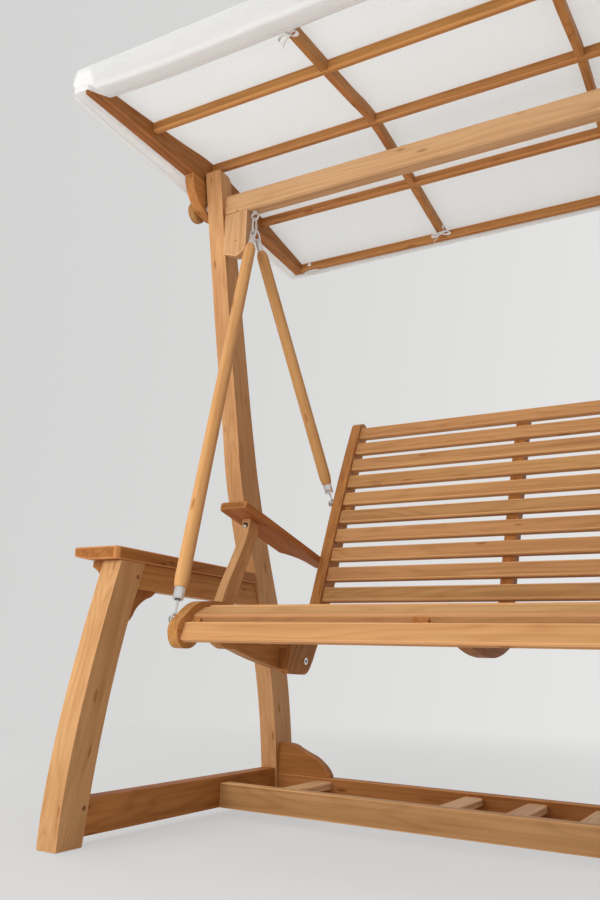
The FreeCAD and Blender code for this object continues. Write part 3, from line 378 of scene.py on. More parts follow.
@dataclass(frozen=True)
class Teak(Finish):
    """Oiled teak, with a lighter and a darker wood, the strength of its figure and its grain's run."""

    name: str
    slot: str
    light: Colour
    dark: Colour
    figure: float = 0.8
    along: Place = Grain.DEPTH.value
    bump: float = 0.25
    pore_depth: float = 0.6 * MM

    def running(self, along: Place | Vector) -> "Teak":
        """Gives the same wood with its grain along a direction."""
        return replace(self, along=tuple(along))

    def wear_and_highlight(self) -> "Teak":
        """Gives the same wood for its softened edges, paler and plainer: partly the wear of handling, partly a
        painted highlight along the edges.
        """
        return replace(self, name=self.name + "_edge", light=toned(self.light, 1.22, 0.02),
                       dark=toned(self.dark, 1.5, 0.02), figure=self.figure * 0.6)

    def material(self) -> bpy.types.Material:
        """Gives the material of this wood and this run of grain."""
        return shared(self.name + "_" + "_".join(f"{round(part * 100):d}" for part in self.along), self.surface)

    def surface(self, wiring: Wiring) -> Socket:
        """Makes the wood's nodes.

        Args:
            wiring: adds nodes to the material.

        Returns:
            The surface.
        """
        place = wiring.add("ShaderNodeTexCoord").outputs["Object"]
        turn: Euler = Vector(self.along).to_track_quat("X", "Z").to_euler()
        lined = wiring.add("ShaderNodeMapping", {"Vector": place, "Rotation": turn}, vector_type="TEXTURE")
        island = wiring.add("ShaderNodeNewGeometry").outputs["Random Per Island"]
        piece = wiring.add("ShaderNodeObjectInfo").outputs["Random"]
        board = wiring.math("FRACT", wiring.math("ADD", island, piece))
        grain = TeakGrain().place(wiring, {"Vector": lined.outputs[0], "Board": board, "Light": self.light,
                                           "Dark": self.dark, "Figure": self.figure})
        return wiring.shader("BsdfPrincipled", {
            "Base Color": grain["Color"], "Roughness": grain["Roughness"], "IOR": 1.45,
            "Normal": wiring.relief(grain["Height"], self.bump, self.pore_depth), "Specular IOR Level": 0.15})


@dataclass(frozen=True)
class Metal(Finish):
    """Polished or plain metal, with fine drawing marks and darker stretched patches that are painted
    reflections; the same pattern varies the roughness like smudges.
    """

    name: str
    slot: str
    colour: Colour
    rough: float
    mark_scale: float = 900.0
    mark_depth: float = 0.2 * MM
    smudge_reflection_scale: float = 120.0
    smudge_reflection_stretch: Place = (1.0, 1.0, 0.16)
    reflection_band_edge: tuple[float, float] = (0.44, 0.58)
    reflection_band_tone: float = 0.2

    def surface(self, wiring: Wiring) -> Socket:
        """Makes the metal's nodes.

        Args:
            wiring: adds nodes to the material.

        Returns:
            The surface.
        """
        place = wiring.add("ShaderNodeTexCoord").outputs["Object"]
        marks = wiring.cloud(place, self.mark_scale, 3.0, 0.7)
        smudges_and_reflections = wiring.cloud(wiring.vector("MULTIPLY", place, self.smudge_reflection_stretch)[0], self.smudge_reflection_scale, 1.0)
        # Darker stretched patches: painted reflections in the metal.
        reflection_band_colour = toned(self.colour, self.reflection_band_tone)
        tint = wiring.mix(wiring.ramp(smudges_and_reflections, *self.reflection_band_edge), self.colour, reflection_band_colour)
        return wiring.shader("BsdfPrincipled", {
            "Base Color": tint, "Roughness": wiring.math("MULTIPLY_ADD", smudges_and_reflections, 0.14, self.rough - 0.05),
            "Metallic": 1.0, "Normal": wiring.relief(marks, 0.12, self.mark_depth)})


@dataclass(frozen=True)
class Cloth(Finish):
    """Woven cotton that lets some light through, with a line of stitches above its hem, and a whiter band along
    the hem that is painted light.
    """

    name: str
    slot: str
    colour: Colour
    threads: float
    through: float
    stitched: bool
    # The whiter colour of the last few centimetres up to the hem, the front's turned-under flap among them:
    # painted light.
    turned: Colour = (0.95, 0.955, 0.95, 1.0)
    hem_light_edge: tuple[float, float] = (75 * MM, 50 * MM)
    ply_edge: tuple[float, float] = (16.5 * MM, 13.5 * MM)
    line_low: tuple[float, float] = (10.8 * MM, 12 * MM)
    line_high: tuple[float, float] = (14.2 * MM, 13 * MM)
    stitch_length: float = 5 * MM
    weave_depth: float = 0.6 * MM

    def surface(self, wiring: Wiring) -> Socket:
        """Makes the cloth's nodes.

        Args:
            wiring: adds nodes to the material.

        Returns:
            The surface.
        """
        cut = wiring.add("ShaderNodeUVMap", uv_map="cut").outputs[0]
        weave = Weave().place(wiring, {"Vector": cut, "Threads": self.threads})
        colour = wiring.mix(wiring.ramp(weave["Slub"], 0.3, 0.75), self.colour, toned(self.colour, 0.975))
        height = wiring.math("MULTIPLY", weave["Height"], 0.35)
        if self.stitched:
            hem = wiring.add("ShaderNodeAttribute", attribute_name="hem").outputs["Fac"]
            # Whiter towards the hem: painted light on the turned-under flap and the hem band.
            colour = wiring.mix(wiring.ramp(hem, *self.hem_light_edge), colour, self.turned)
            line = wiring.math("MULTIPLY", wiring.ramp(hem, *self.line_low), wiring.ramp(hem, *self.line_high))
            parts = wiring.add("ShaderNodeSeparateXYZ", {0: cut}).outputs
            run = wiring.math("MULTIPLY", wiring.math("ADD", parts[0], parts[1]), math.tau / self.stitch_length)
            stitch = wiring.math("MULTIPLY", line, wiring.ramp(wiring.math("SINE", run), -0.4, 0.1))
            colour = wiring.mix(wiring.math("MULTIPLY", line, 0.55), colour, toned(self.colour, 0.8))
            height = wiring.math("MULTIPLY_ADD", wiring.ramp(hem, *self.ply_edge), 1.6, height)
            height = wiring.math("MULTIPLY_ADD", stitch, -1.2, height)
        normal = wiring.relief(height, 0.45, self.weave_depth)
        front = wiring.shader("BsdfPrincipled", {"Base Color": colour, "Roughness": 0.88, "Normal": normal,
                                                 "Specular IOR Level": 0.2, "Sheen Weight": 0.25,
                                                 "Sheen Roughness": 0.5})
        glow = wiring.shader("BsdfTranslucent", {"Color": colour, "Normal": normal})
        return wiring.shader("MixShader", {0: self.through, 1: front, 2: glow})


TEAK = Teak("pale_teak", "teak", (0.61, 0.338, 0.150, 1.0), (0.35, 0.152, 0.050, 1.0))
# Paler teak for the beam and its brackets: partly the wood's own tone, partly painted light for the stronger
# light high on the frame.
BEAM_TEAK = Teak("beam_teak", "teak", (0.63, 0.378, 0.190, 1.0), (0.39, 0.190, 0.075, 1.0))
SEAT_TEAK = Teak("seat_teak", "teak", (0.56, 0.300, 0.120, 1.0), (0.31, 0.126, 0.042, 1.0))
# Teak between the pale and the deep one, for rails, stiles, battens and canopy bars that sit half in shade:
# partly the wood's own tone, partly painted shade.
MID_TEAK = Teak("mid_teak", "teak", (0.53, 0.240, 0.074, 1.0), (0.26, 0.086, 0.020, 1.0))
# Pale teak for the base's cross slats: partly dust on them, partly painted light on their tops.
PALE_TEAK = Teak("dry_teak", "teak", (0.70, 0.44, 0.235, 1.0), (0.46, 0.235, 0.10, 1.0))
# Darker, redder teak for the undersides, inner faces and brackets that sit in shade: partly the wood's own
# tone, partly painted shade.
DEEP_TEAK = Teak("deep_teak", "teak", (0.45, 0.178, 0.050, 1.0), (0.20, 0.060, 0.013, 1.0), 0.9)
ROD_TEAK = Teak("rod_teak", "rod_teak", (0.68, 0.37, 0.15, 1.0), (0.45, 0.19, 0.06, 1.0), 0.5)
KNOB_TEAK = Teak("knob_teak", "knob_teak", (0.50, 0.25, 0.10, 1.0), (0.25, 0.10, 0.03, 1.0), 0.9)
PLUG_TEAK = Teak("plug_teak", "teak", (0.25, 0.11, 0.038, 1.0), (0.12, 0.042, 0.014, 1.0), 0.5)
STEEL = Metal("bright_steel", "bright_steel", (0.42, 0.41, 0.40, 1.0), 0.12)
# Dark steel for nail heads, washers and bolt heads, also given to the discs in the ferrules' open ends, which
# are painted shade for the inside of the holes.
DARK_STEEL_AND_HOLE_SHADE = Metal("nail_steel", "bright_steel", (0.09, 0.075, 0.065, 1.0), 0.5)
CANVAS = Cloth("canopy_canvas", "canopy_cloth", (0.85, 0.860, 0.858, 1.0), 1100.0, 0.6, True)
TAPE = Cloth("tie_tape", "tie_tape", (0.90, 0.90, 0.89, 1.0), 900.0, 0.3, False)


class Subassembly:
    """A group of pieces that are made, dressed and put on their body together."""

    def build(self) -> None:
        """Makes every piece of the group."""
        raise NotImplementedError

    def linked(self, name: str, shape: Shape, finish: Finish, smooth: float = 32.0) -> bpy.types.Object:
        """Makes an object of a mesh under construction, at the origin.

        Args:
            name: the piece's name.
            shape: the mesh, which is freed.
            finish: the piece's finish.
            smooth: the angle in degrees above which an edge stays sharp.

        Returns:
            The new object.
        """
        mesh = bpy.data.meshes.new(name)
        shape.to_mesh(mesh)
        shape.free()
        mesh.materials.clear()
        mesh.materials.append(finish.material())
        mesh.shade_smooth()
        mesh.set_sharp_from_angle(angle=math.radians(smooth))
        piece = bpy.data.objects.new(name, mesh)
        bpy.context.scene.collection.objects.link(piece)
        return piece

    def finished(self, piece: bpy.types.Object, body: str, slot: str, nodes: tuple[str, ...] = ()) -> None:
        """Puts a piece on its body and reports it.

        Args:
            piece: the piece, in place.
            body: the body that it moves with.
            slot: the record's slot for its finish; not used.
            nodes: the solids that it stands for.
        """
        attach(piece, body)
        if nodes:
            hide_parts(*nodes)
        log.info("%s: %d faces on %s", piece.name, len(piece.data.polygons), body)

    def made(self, name: str, shape: Shape, finish: Finish, body: str, *nodes: str,
             smooth: float = 40.0) -> None:
        """Makes a piece, puts it on its body and reports it.

        Args:
            name: the piece's name.
            shape: the mesh, which is freed.
            finish: the piece's finish.
            body: the body that it moves with.
            *nodes: the solids that it stands for.
            smooth: the angle in degrees above which an edge stays sharp.
        """
        self.finished(self.linked(name, shape, finish, smooth), body, finish.slot, nodes)

    def eased(self, node: str, finish: Finish, edge: float) -> bpy.types.Object:
        """Dresses a copy of a solid with softened edges.

        Args:
            node: the solid's name.
            finish: the finish.
            edge: the width of the softened edges.

        Returns:
            The piece.
        """
        source = frame["nodes"][node]
        shape = bmesh.new()
        shape.from_mesh(source.data)
        bmesh.ops.remove_doubles(shape, verts=shape.verts, dist=2 * MERGED)
        bmesh.ops.dissolve_limit(shape, angle_limit=math.radians(1.0), verts=shape.verts, edges=shape.edges)
        piece = self.linked(node + "_dressed", shape, finish)
        soft = piece.modifiers.new("soft edges", "BEVEL")
        soft.width = edge
        soft.segments = 2
        # The bevels take the paler edge wood: partly wear, partly a painted highlight along the edges.
        if wear_and_highlight := finish.wear_and_highlight():
            piece.data.materials.append(wear_and_highlight.material())
            soft.material = 1
        soft.limit_method = "ANGLE"
        soft.angle_limit = math.radians(34)
        soft.harden_normals = True
        self.finished(piece, source["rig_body"], finish.slot, (node,))
        return piece


@dataclass
class Timber(Subassembly):
    """Boards of one sub-assembly, each with its grain and its wood, and how soft their edges are."""

    paired: dict[str, tuple[Grain, Teak]]
    single: dict[str, tuple[Grain, Teak]]
    edge: float = 2.4 * MM
    wide_edge: float = 4.2 * MM
    handled: tuple[str, ...] = ("arm_board", "armrest")

    def build(self) -> None:
        """Dresses both boards of every pair, and then the single ones."""
        for name, (grain, wood) in {**self.paired, **self.single}.items():
            edge = self.wide_edge if name in self.handled else self.edge
            for node in (name + "_left", name + "_right") if name in self.paired else (name,):
                self.eased(node, wood.running(grain.value), edge)


FRAME_TIMBER = Timber(
    {"front_leg": (Grain.LEG, TEAK), "back_post": (Grain.POST, TEAK), "side_rail": (Grain.DEPTH, DEEP_TEAK),
     "arm_rail": (Grain.DEPTH, MID_TEAK), "leg_bracket": (Grain.BRACKET, DEEP_TEAK),
     "arm_corbel": (Grain.UPRIGHT, DEEP_TEAK), "arm_board": (Grain.DEPTH, DEEP_TEAK),
     "stretcher_bracket": (Grain.ACROSS, DEEP_TEAK), "beam_bracket": (Grain.UPRIGHT, BEAM_TEAK)},
    {"front_stretcher": (Grain.ACROSS, TEAK), "rear_stretcher": (Grain.ACROSS, MID_TEAK),
     "base_cross_slats": (Grain.DEPTH, PALE_TEAK), "main_beam": (Grain.ACROSS, BEAM_TEAK)})
CANOPY_TIMBER = Timber(
    {"canopy_side_bar": (Grain.DEPTH, DEEP_TEAK), "canopy_quadrant": (Grain.DEPTH, MID_TEAK),
     "canopy_cross_bar": (Grain.DEPTH, MID_TEAK)},
    {"canopy_rail_" + place: (Grain.ACROSS, MID_TEAK)
     for place in ("front", "second", "middle", "fourth", "rear")}, edge=1.8 * MM)
BENCH_TIMBER = Timber(
    {"seat_side": (Grain.DEPTH, MID_TEAK), "back_stile": (Grain.STILE, MID_TEAK),
     "armrest": (Grain.ARMREST, DEEP_TEAK)},
    {"back_mid_stile": (Grain.STILE, DEEP_TEAK), "seat_mid_bearer": (Grain.DEPTH, DEEP_TEAK),
     "back_slats": (Grain.ACROSS, SEAT_TEAK), "seat_battens": (Grain.DEPTH, MID_TEAK)}, edge=1.8 * MM)


@dataclass
class SeatSlats(Subassembly):
    """The seat's slats, the second of which leans further over the seat's nose than its solid."""

    edge: float = 1.8 * MM
    lean: float = math.radians(16)
    hinge: Vector = spot(0, -0.3483, 0.5091)
    slide: Vector = spot(0, -0.0054, -0.0026)
    reach: tuple[float, float] = (-0.400, -0.345)

    def build(self) -> None:
        """Dresses the slats and leans the second one."""
        piece = self.eased("seat_slats", SEAT_TEAK.running(Grain.ACROSS.value), self.edge)
        leant = (Matrix.Translation(self.hinge + self.slide) @ Matrix.Rotation(self.lean, 4, "X")
                 @ Matrix.Translation(-self.hinge))
        for vert in piece.data.vertices:
            if self.reach[0] < vert.co.y < self.reach[1]:
                vert.co = leant @ vert.co


@dataclass
class ArmPosts(Subassembly):
    """The armrests' posts, a little straighter than their solids, as the real ones are."""

    edge: float = 2.4 * MM
    straighten: float = 13 * MM

    def build(self) -> None:
        """Dresses both posts and straightens them."""
        for side, _ in SIDES:
            node = "arm_post_" + side
            piece = self.eased(node, TEAK.running(Grain.ARM_POST.value), self.edge)
            low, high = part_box(node)
            for vert in piece.data.vertices:
                share = part_way((vert.co.z - low.z) / (high.z - low.z))
                vert.co.y -= self.straighten * math.sin(math.pi * share)


def cleaned(shape: Shape) -> Shape:
    """Merges a shape's doubled points and turns its faces outwards.

    Args:
        shape: the shape, which is changed.

    Returns:
        The same shape.
    """
    bmesh.ops.remove_doubles(shape, verts=shape.verts, dist=MERGED)
    bmesh.ops.recalc_face_normals(shape, faces=shape.faces)
    return shape


def standing(start: Vector, along: Vector) -> Matrix:
    """Gives the place whose Z axis starts at a point and runs along a direction."""
    return Matrix.Translation(start) @ along.to_track_quat("Z", "Y").to_matrix().to_4x4()


def turned(profile: list[tuple[float, float]], sides: int, place: Matrix) -> Shape:
    """Turns a profile round the Z axis.

    Args:
        profile: height and radius at each point, from one end of the axis to the other.
        sides: how many faces go round.
        place: where the shape goes.

    Returns:
        The closed shape.
    """
    shape = bmesh.new()
    line = [shape.verts.new((radius, 0.0, height)) for height, radius in profile]
    edges = [shape.edges.new(pair) for pair in zip(line, line[1:])]
    bmesh.ops.spin(shape, geom=line + edges, cent=(0, 0, 0), axis=(0, 0, 1), angle=math.tau, steps=sides,
                   use_merge=True)
    cleaned(shape).transform(place)
    return shape


def ring(centre: Vector, axis: Vector, radius: float, thick: float) -> Shape:
    """Makes a round ring of wire.

    Args:
        centre: the ring's middle.
        axis: the way through the ring.
        radius: from the middle to the wire's own line.
        thick: the wire's thickness.

    Returns:
        The ring.
    """
    shape = bmesh.new()
    verts = bmesh.ops.create_circle(shape, segments=14, radius=thick / 2)["verts"]
    bmesh.ops.rotate(shape, verts=verts, cent=(0, 0, 0), matrix=Matrix.Rotation(math.pi / 2, 3, "X"))
    bmesh.ops.translate(shape, verts=verts, vec=(radius, 0, 0))
    bmesh.ops.spin(shape, geom=verts + shape.edges[:], cent=(0, 0, 0), axis=(0, 0, 1), angle=math.tau, steps=40,
                   use_merge=True)
    cleaned(shape).transform(standing(centre, axis))
    return shape


def wire(points: list[Vector], thick: float, closed: bool) -> Shape:
    """Bends a wire smoothly through points.

    Args:
        points: where the wire goes.
        thick: the wire's thickness.
        closed: whether its end meets its start.

    Returns:
        The wire.
    """
    curve = bpy.data.curves.new("wire", "CURVE")
    curve.dimensions = "3D"
    curve.bevel_depth = thick / 2
    curve.bevel_resolution = 4
    curve.resolution_u = 10
    curve.use_fill_caps = not closed
    spline = curve.splines.new("BEZIER")
    spline.bezier_points.add(len(points) - 1)
    for knot, point in zip(spline.bezier_points, points):
        knot.co = point
        knot.handle_left_type = knot.handle_right_type = "AUTO"
    spline.use_cyclic_u = closed
    holder = bpy.data.objects.new("wire", curve)
    bpy.context.scene.collection.objects.link(holder)
    bpy.context.view_layer.update()
    mesh = bpy.data.meshes.new_from_object(holder.evaluated_get(bpy.context.evaluated_depsgraph_get()))
    shape = bmesh.new()
    shape.from_mesh(mesh)
    bpy.data.objects.remove(holder)
    bpy.data.meshes.remove(mesh)
    return cleaned(shape)


def joined(shapes: list[Shape]) -> Shape:
    """Puts several shapes in one mesh.

    Args:
        shapes: the shapes, which are freed.

    Returns:
        The shape of them all.
    """
    whole = bmesh.new()
    for shape in shapes:
        part = bpy.data.meshes.new("part")
        shape.to_mesh(part)
        shape.free()
        whole.from_mesh(part)
        bpy.data.meshes.remove(part)
    return whole


def both_sides(shapes: list[Shape]) -> Shape:
    """Joins the left side's shapes and adds their mirror image across the swing's middle.

    Args:
        shapes: the left side's shapes, which are freed.

    Returns:
        The shape of both sides.
    """
    whole = joined(shapes)
    copy = bmesh.ops.duplicate(whole, geom=whole.verts[:] + whole.edges[:] + whole.faces[:])["geom"]
    verts = [part for part in copy if isinstance(part, bmesh.types.BMVert)]
    faces = [part for part in copy if isinstance(part, bmesh.types.BMFace)]
    bmesh.ops.scale(whole, vec=(-1, 1, 1), verts=verts)
    bmesh.ops.reverse_faces(whole, faces=faces)
    return whole


@dataclass
class Hangers(Subassembly):
    """Eye bolts, quick links, wire loops, ferrules and wooden rods that carry the bench."""

    swing: Vector = spot(-0.686, -0.016891, 1.706)
    eye_radius: float = 12 * MM
    eye_wire: float = 6 * MM
    shank: tuple[float, float] = (38 * MM, 4 * MM)
    collar_radius: float = 10 * MM
    collar_high: float = 4 * MM
    collar_lift: float = 14 * MM
    link_low: float = 31 * MM
    link_wire: float = 6 * MM
    link_top_radius: float = 6.3 * MM
    link_low_radius: float = 10 * MM
    round_share: float = 0.72
    loop_wire: float = 5 * MM
    loop_half: float = 8 * MM
    hang_drop: float = 2.42 * MM
    apart: float = 2.8 * MM
    front_stud: Vector = spot(-0.571, -0.427908, 0.489995)
    rear_stud: Vector = spot(-0.545, 0.262094, 0.871979)
    head_gap: float = 67 * MM
    front_foot_gap: float = 76 * MM
    rear_foot_gap: float = 60 * MM
    ferrule: float = 28 * MM
    head_ferrule: float = 9 * MM
    foot_ferrule: float = 12.5 * MM
    foot_hole: float = 5 * MM
    rod_radius: float = 17 * MM
    rod_head: float = 12 * MM
    rod_foot: float = 14 * MM
    taper: float = 20 * MM
    ring_radius: float = 9 * MM
    ring_lift: float = 2.2 * MM

    def build(self) -> None:
        """Makes the eyes, links, rods, ferrules, the painted shade in the foot ferrules' holes, and hooks."""
        self.make_eyes()
        self.make_links()
        ferrules: list[Shape] = []
        hole_shades: list[Shape] = []
        hooks: list[Shape] = []
        for name, side, stud, gap in (("front", -1, self.front_stud, self.front_foot_gap),
                                      ("rear", 1, self.rear_stud, self.rear_foot_gap)):
            hang = self.swing + Vector((0, side * self.apart, -self.link_low - self.hang_drop))
            down = (stud - hang).normalized()
            head = hang + down * self.head_gap
            tail = stud - down * gap
            end = tail + down * self.ferrule
            self.make_rod(name, head, tail)
            ferrules += [self.cap(standing(head, -down), self.head_ferrule, 0.0),
                         self.cap(standing(tail, down), self.foot_ferrule, self.foot_hole)]
            # A dark disc in each foot ferrule's open end: painted shade for its hole.
            hole_shades.append(self.hole(standing(end, down)))
            hooks += self.loops(hang, head - down * self.ferrule, down) + self.stud_hook(stud, end, down)
        self.made("bright_ferrules", both_sides(ferrules), STEEL, "bench", "rod_ferrules")
        self.made("ferrule_holes", both_sides(hole_shades), DARK_STEEL_AND_HOLE_SHADE, "bench")
        self.made("wire_hooks", both_sides(hooks), STEEL, "bench", "rod_hooks", smooth=60)

    def make_eyes(self) -> None:
        """Makes the beam's eye bolts, each a ring with a shank and a six-sided collar."""
        centre = self.swing + Vector((0, 0, self.eye_radius))
        high, radius = self.shank
        shank = turned([(0, 0), (0, radius), (high, radius), (high, 0)], 20,
                       Matrix.Translation(centre + Vector((0, 0, self.eye_radius))))
        collar = bmesh.new()
        bmesh.ops.create_cone(collar, cap_ends=True, segments=6, radius1=self.collar_radius,
                              radius2=self.collar_radius, depth=self.collar_high)
        bmesh.ops.bevel(collar, geom=collar.edges[:], offset=0.6 * MM, segments=2, profile=0.5, affect="EDGES",
                        material=-1)
        collar.transform(Matrix.Translation(centre + Vector((0, 0, self.collar_lift))))
        eye = ring(centre, BACKWARD, self.eye_radius, self.eye_wire)
        self.made("eye_bolts", both_sides([eye, shank, collar]), STEEL, "frame", "beam_eyes")

    def make_links(self) -> None:
        """Makes the pear-shaped quick links with their screwed sleeves."""
        low = self.swing - Vector((0, 0, self.link_low))
        wide, deep = self.link_top_radius, self.link_low_radius
        lean = self.round_share
        points = [self.swing + Vector((0, 0, wide)), self.swing + Vector((0, lean * wide, lean * wide)),
                  self.swing + Vector((0, wide, 0)), low + Vector((0, deep, 0)),
                  low + Vector((0, lean * deep, -lean * deep)), low + Vector((0, 0, -deep))]
        points += [Vector((point.x, 2 * self.swing.y - point.y, point.z)) for point in reversed(points[1:5])]
        side = (points[3] - points[2]).normalized()
        link = wire(points, self.link_wire, True)
        sleeve = [(0, 2.6), (0, 4.2), (0.8, 4.7), (11.2, 4.7), (12, 4.2), (12, 2.6)]
        screwed = turned([(high * MM, radius * MM) for high, radius in sleeve], 6,
                         standing(points[2] + side * 10 * MM, side))
        self.made("quick_link_pair", both_sides([link, screwed]), STEEL, "bench", "quick_links")

    def make_rod(self, name: str, head: Vector, tail: Vector) -> None:
        """Makes both rods of a pair, with rounded shoulders.

        Args:
            name: front or rear.
            head: the rod's upper end.
            tail: its lower end.
        """
        length = (tail - head).length
        taper, radius, foot = self.taper, self.rod_radius, self.rod_foot
        profile = [(share * taper, self.rod_head * part)
                   for share, part in ((0.0, 0.0), (0.0, 0.82), (0.05, 0.93), (0.16, 1.0))]
        profile += [(0.5 * taper, self.rod_head + 0.52 * (radius - self.rod_head)),
                    (0.85 * taper, radius * 0.965), (1.3 * taper, radius), (length / 2, radius),
                    (length - 1.3 * taper, radius), (length - 0.8 * taper, radius * 0.97)]
        profile += [(length - share * taper, foot * part)
                    for share, part in ((0.3, 1.04), (0.12, 1.0), (0.03, 0.93), (0.0, 0.8), (0.0, 0.0))]
        for side, sign in SIDES:
            flip = Matrix.Diagonal((sign, 1, 1, 1))
            start = flip @ head
            along = (flip @ tail - start).normalized()
            rod = turned(profile, 40, standing(start, along))
            self.made(f"rod_{name}_{side}_turned", rod, ROD_TEAK.running(along), "bench",
                      f"hanger_rod_{name}_{side}")

    def cap(self, place: Matrix, radius: float, hole: float) -> Shape:
        """Makes a ferrule with a rolled rim.

        Args:
            place: where it meets the rod, with Z towards the wire.
            radius: its radius.
            hole: the radius of the hole for the wire, or nought for a closed end.

        Returns:
            The ferrule.
        """
        length = self.ferrule
        profile = [(0, 0), (0, radius * 0.96), (0.6 * MM, radius), (length - 6 * MM, radius),
                   (length - 5 * MM, radius * 0.95), (length - 4 * MM, radius * 0.95),
                   (length - 3 * MM, radius), (length - 0.8 * MM, radius), (length, radius * 0.92)]
        if hole:
            profile += [(length, hole + 1 * MM), (length - 1 * MM, hole), (length - 12 * MM, hole)]
        return turned(profile + [(profile[-1][0], 0)], 36, place)

    def hole(self, place: Matrix) -> Shape:
        """Makes a dark disc round the wire, at a ferrule's open end with Z out of it: painted shade for the
        inside of the hole.
        """
        radius = self.foot_ferrule * 0.62
        return turned([(-6 * MM, 0), (-6 * MM, radius), (-0.2 * MM, radius), (0.5 * MM, radius * 0.9),
                       (0.5 * MM, 0)], 28, place)

    def loops(self, hang: Vector, end: Vector, down: Vector) -> list[Shape]:
        """Makes the upper wire loop, with two turns of wire twisted round its neck.

        Args:
            hang: where it hangs in the link.
            end: where the ferrule begins.
            down: along the rod.

        Returns:
            The loop and its twist.
        """
        half = self.loop_half
        sideways = down.cross(BACKWARD).normalized()
        top = hang + down * half
        low = end - down * half
        lean = 0.71 * half
        points = [top - down * half, top + (sideways - down) * lean, top + sideways * half,
                  low + sideways * half, low + (sideways + down) * lean, low + down * half,
                  low + (down - sideways) * lean, low - sideways * half, top - sideways * half,
                  top - (sideways + down) * lean]
        twist = [ring(end - down * (4 + 4 * turn) * MM, down, (6.2 - 0.4 * turn) * MM, 3.4 * MM)
                 for turn in range(2)]
        return [wire(points, self.loop_wire, True)] + twist

    def stud_hook(self, stud: Vector, end: Vector, down: Vector) -> list[Shape]:
        """Makes the lower eye round its stud and the wire up to the ferrule.

        Args:
            stud: the middle of the stud's free end.
            end: the ferrule's lower end.
            down: along the rod.

        Returns:
            The eye and the wire.
        """
        lifted = stud - down * self.ring_lift
        eye = ring(lifted, INWARD, self.ring_radius, self.loop_wire)
        start = lifted + Vector((0, -down.y, -down.z)).normalized() * self.ring_radius
        middle = start.lerp(end, 0.5) + Vector((0, 1.2 * MM, 0))
        neck = [start, start.lerp(middle, 0.6), middle, end, end - down * 9 * MM]
        return [eye, wire(neck, self.loop_wire, False)]


@dataclass
class Knobs(Subassembly):
    """Round wooden hand knobs that clamp the canopy's tilt."""

    middle: Vector = spot(-0.8723, -0.048223, 1.765)
    radius: float = 34 * MM
    thick: float = 26 * MM
    rim: tuple[tuple[float, float], ...] = (
        (0.0, 0.0), (0.0, 0.72), (0.03, 0.82), (0.12, 0.93), (0.26, 0.985), (0.4, 1.0), (0.48, 0.975),
        (0.54, 0.975), (0.62, 1.0), (0.74, 0.985), (0.88, 0.92), (0.96, 0.82), (1.0, 0.7), (0.98, 0.56),
        (0.9, 0.4), (0.86, 0.24), (0.85, 0.0))

    def build(self) -> None:
        """Makes both knobs."""
        profile = [(height * self.thick, self.radius * share) for height, share in self.rim]
        for side, sign in SIDES:
            middle = Vector((sign * self.middle.x, self.middle.y, self.middle.z))
            place = standing(middle, Vector((-sign, 0, 0)))
            self.made(f"hand_knob_{side}", turned(profile, 56, place), KNOB_TEAK, f"knob_{side}",
                      f"canopy_knob_{side}")


@dataclass(frozen=True)
class Heads:
    """Low domed heads of one kind: where they stand on the left side, and how large they are."""

    name: str
    finish: Finish
    body: str
    radius: float
    proud: float
    spots: tuple[tuple[Place, Vector], ...]

    def shapes(self) -> list[Shape]:
        """Makes each head with its foot sunk in the face, along its way out of the face.

        Returns:
            The heads, one for each spot.
        """
        radius, proud = self.radius, self.proud
        profile = [(-1 * MM, 0), (-1 * MM, radius), (proud * 0.5, radius), (proud * 0.85, radius * 0.8),
                   (proud, radius * 0.4), (proud, 0)]
        return [turned(profile, 20, standing(Vector(place), along)) for place, along in self.spots]


